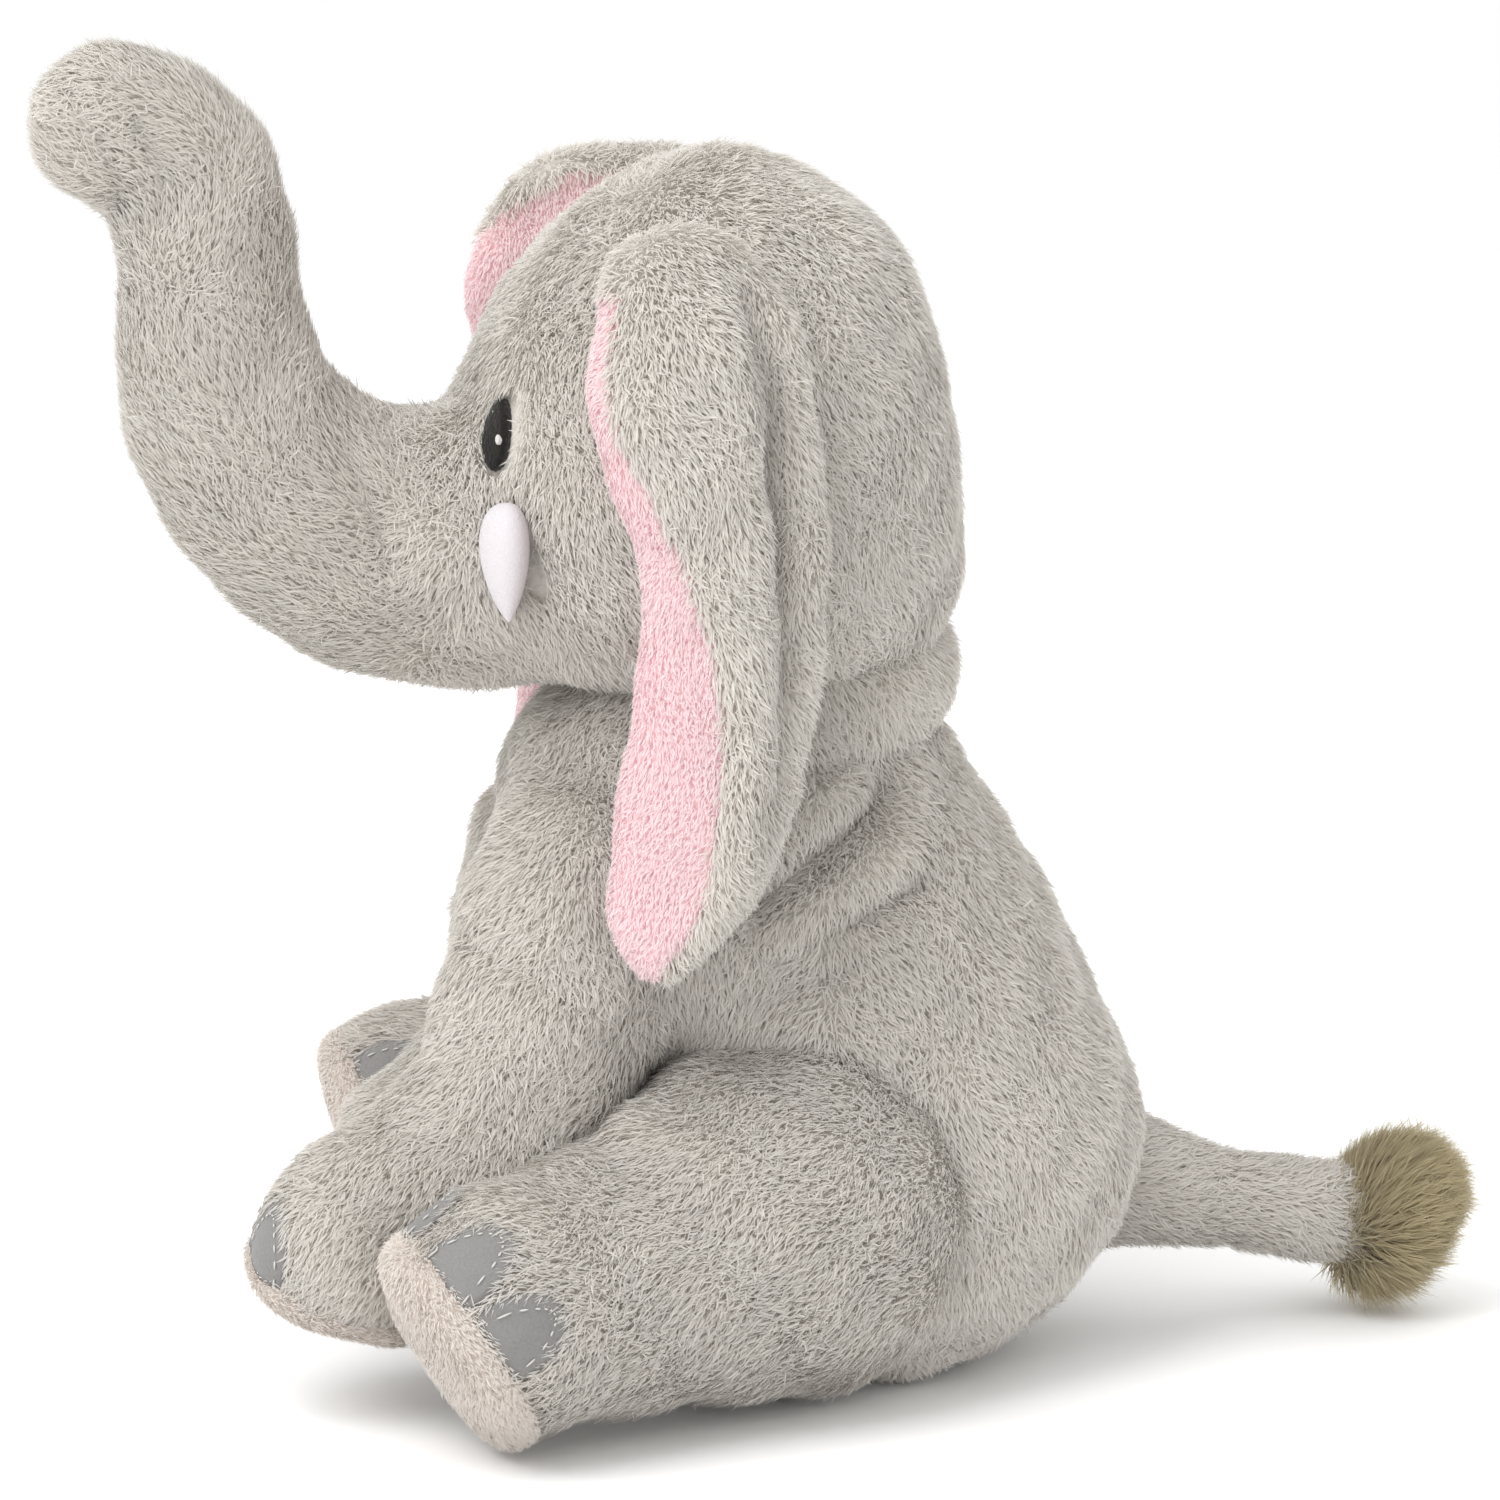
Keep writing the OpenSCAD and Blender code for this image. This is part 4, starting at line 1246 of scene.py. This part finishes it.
# %% Tusks
def tusk_mesh():
    """A leaf standing upright on the cheek. Its width goes as t^0.8 (1 - t)^0.45 from the pointed
    foot to the blunt top, it bulges forwards, and a soft keel marks the fold of the cloth."""
    t = np.sin(np.linspace(0.01, 0.99, 29)[:, None] * np.pi / 2) ** 2
    a = round_turn(40)[None]
    leaf = t ** 0.8 * (1 - t) ** 0.45 / 0.4345
    turn = face_turn(TUSK_AT[0], TUSK_AT[1]) - 0.25
    out = np.array([math.sin(turn), -math.cos(turn), 0])
    side = np.array([math.cos(turn), math.sin(turn), 0])
    keel = 1 + 0.06 * np.exp(-((np.sin((a - 1.9) / 2)) / 0.08) ** 2)
    base = face_point(np.array(float(TUSK_AT[0])), np.array(TUSK_AT[1]))
    u = leaf * np.cos(a) * TUSK_WIDE / 2 * keel
    w = leaf * np.sin(a) * TUSK_THICK / 2 * keel + 3.2
    lean = -2.2 * leaf + 1.2
    z = (t - 0.5) * TUSK_HIGH
    co = base + (u + lean)[..., None] * side + w[..., None] * out + z[..., None] * np.array([0, 0, 1.0])
    return closed_mesh("tusk", co * MM)


pair_on_head("tusk", tusk_mesh(), VELOUR, "white_velour")

# %% [markdown]
# ## Tuft
# The tail ends in long khaki pile. It starts from a small dome round the end of the tube, leans
# outwards at first and then bends back, so that the tuft is blunt like a brush.

# %% Tuft
TUFT_AT = np.array([0, 161, 25.5])


def tuft_nap(co):
    """Backwards, and a little down where it hangs."""
    return unit(np.array([0, 1.0, 0.4]) + (co / MM - TUFT_AT) * [0.01, 0, 0.01])


turn = round_turn(32)
t = np.radians(np.linspace(-85, 85, 15))
tuft_rings = TUFT_AT + np.stack([
    12.5 * np.cos(t)[:, None] * np.cos(turn), np.broadcast_to(9.5 * np.sin(t)[:, None], (15, 32)),
    12.5 * np.cos(t)[:, None] * np.sin(turn)], -1)
tuft_rings[..., 1] += 0.32 * (tuft_rings[..., 2] - TUFT_AT[2])  # it starts further on at the top
tuft = joined("tail_tuft", [closed_mesh("tuft", tuft_rings * MM)])
tuft.data.shade_smooth()
dress(tuft, cloth_finish("khaki_cloth", tone(92, 80, 52), tone(120, 106, 74)), "khaki_pile",
      "tail_tuft")
follow(tuft, "tail")
coat("tuft_pile", tuft, tuft_nap, 91, ("tail",), kind="tuft", finish=KHAKI_PILE,
     slot="khaki_pile", lean=(56, 82))

# %% [markdown]
# ## Fillings and pellet bag
# Under the covers lies loose fibre that has taken the covers' shape, and a small bag of pellets
# keeps the seat down. A filling is its cover drawn in by the cover's thickness and made lumpy.

# %% Fillings
DEPTH = 6.0  # how far a filling lies under its cover, mm


def filling(name, skin, motion, *nodes):
    """A copy of a skin, moved inwards along its normals and relaxed before and after."""
    mesh = skin.data.copy()
    relax(mesh, 4)
    move_points(mesh, points_of(mesh) - normals_of(mesh) * DEPTH * MM)
    relax(mesh, 6)
    thing = in_scene(name, mesh)
    dress(thing, FIBRE, "fibre_fill", *nodes, fill=0.9)
    follow(thing, *motion)
    print(name, len(mesh.polygons), "faces")


filling("head_filling", head, HEAD_MOVES, "head_stuffing", "trunk_stuffing", "neck_stuffing")
filling("torso_filling", torso, ("torso",), "torso_stuffing")
filling("tail_filling", tail, TAIL_MOVES, "tail_stuffing")
for side, name in SIDES:
    filling(f"foreleg_filling_{name}", forelegs[side], foreleg_moves[side],
            f"foreleg_stuffing_{name}")
    filling(f"hindleg_filling_{name}", hindlegs[side], (f"hindleg_{name}",),
            f"hindleg_stuffing_{name}")

# %% Pellet bag
low, high = (np.array(corner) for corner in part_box("pellet_bag"))
turn = round_turn(32)
t = np.radians(np.linspace(-84, 84, 13))[:, None, None]
ball = np.concatenate(np.broadcast_arrays(
    np.cos(t) * np.cos(turn)[None, :, None], np.cos(t) * np.sin(turn)[None, :, None],
    np.sign(np.sin(t)) * np.abs(np.sin(t)) ** 0.8), axis=2)
bag = joined("pellet_bag_cloth", [closed_mesh("bag", (low + high) / 2 + ball * (high - low) / 2)])
raised(bag, [], lumps=0.8)
dress(bag, POUCH, "pouch_cloth", "pellet_bag", fill=0.5)
follow(bag, "torso")

# %% Floor
floor_mesh = bpy.data.meshes.new("floor")
floor_mesh.from_pydata([(-4, -4, 0), (4, -4, 0), (4, 4, 0), (-4, 4, 0)], [], [(0, 1, 2, 3)])
floor = in_scene("floor", floor_mesh)
floor_mesh.materials.append(Finish("floor_paint", Roughness=0.9).color((0.99, 0.99, 0.99, 1)).material)
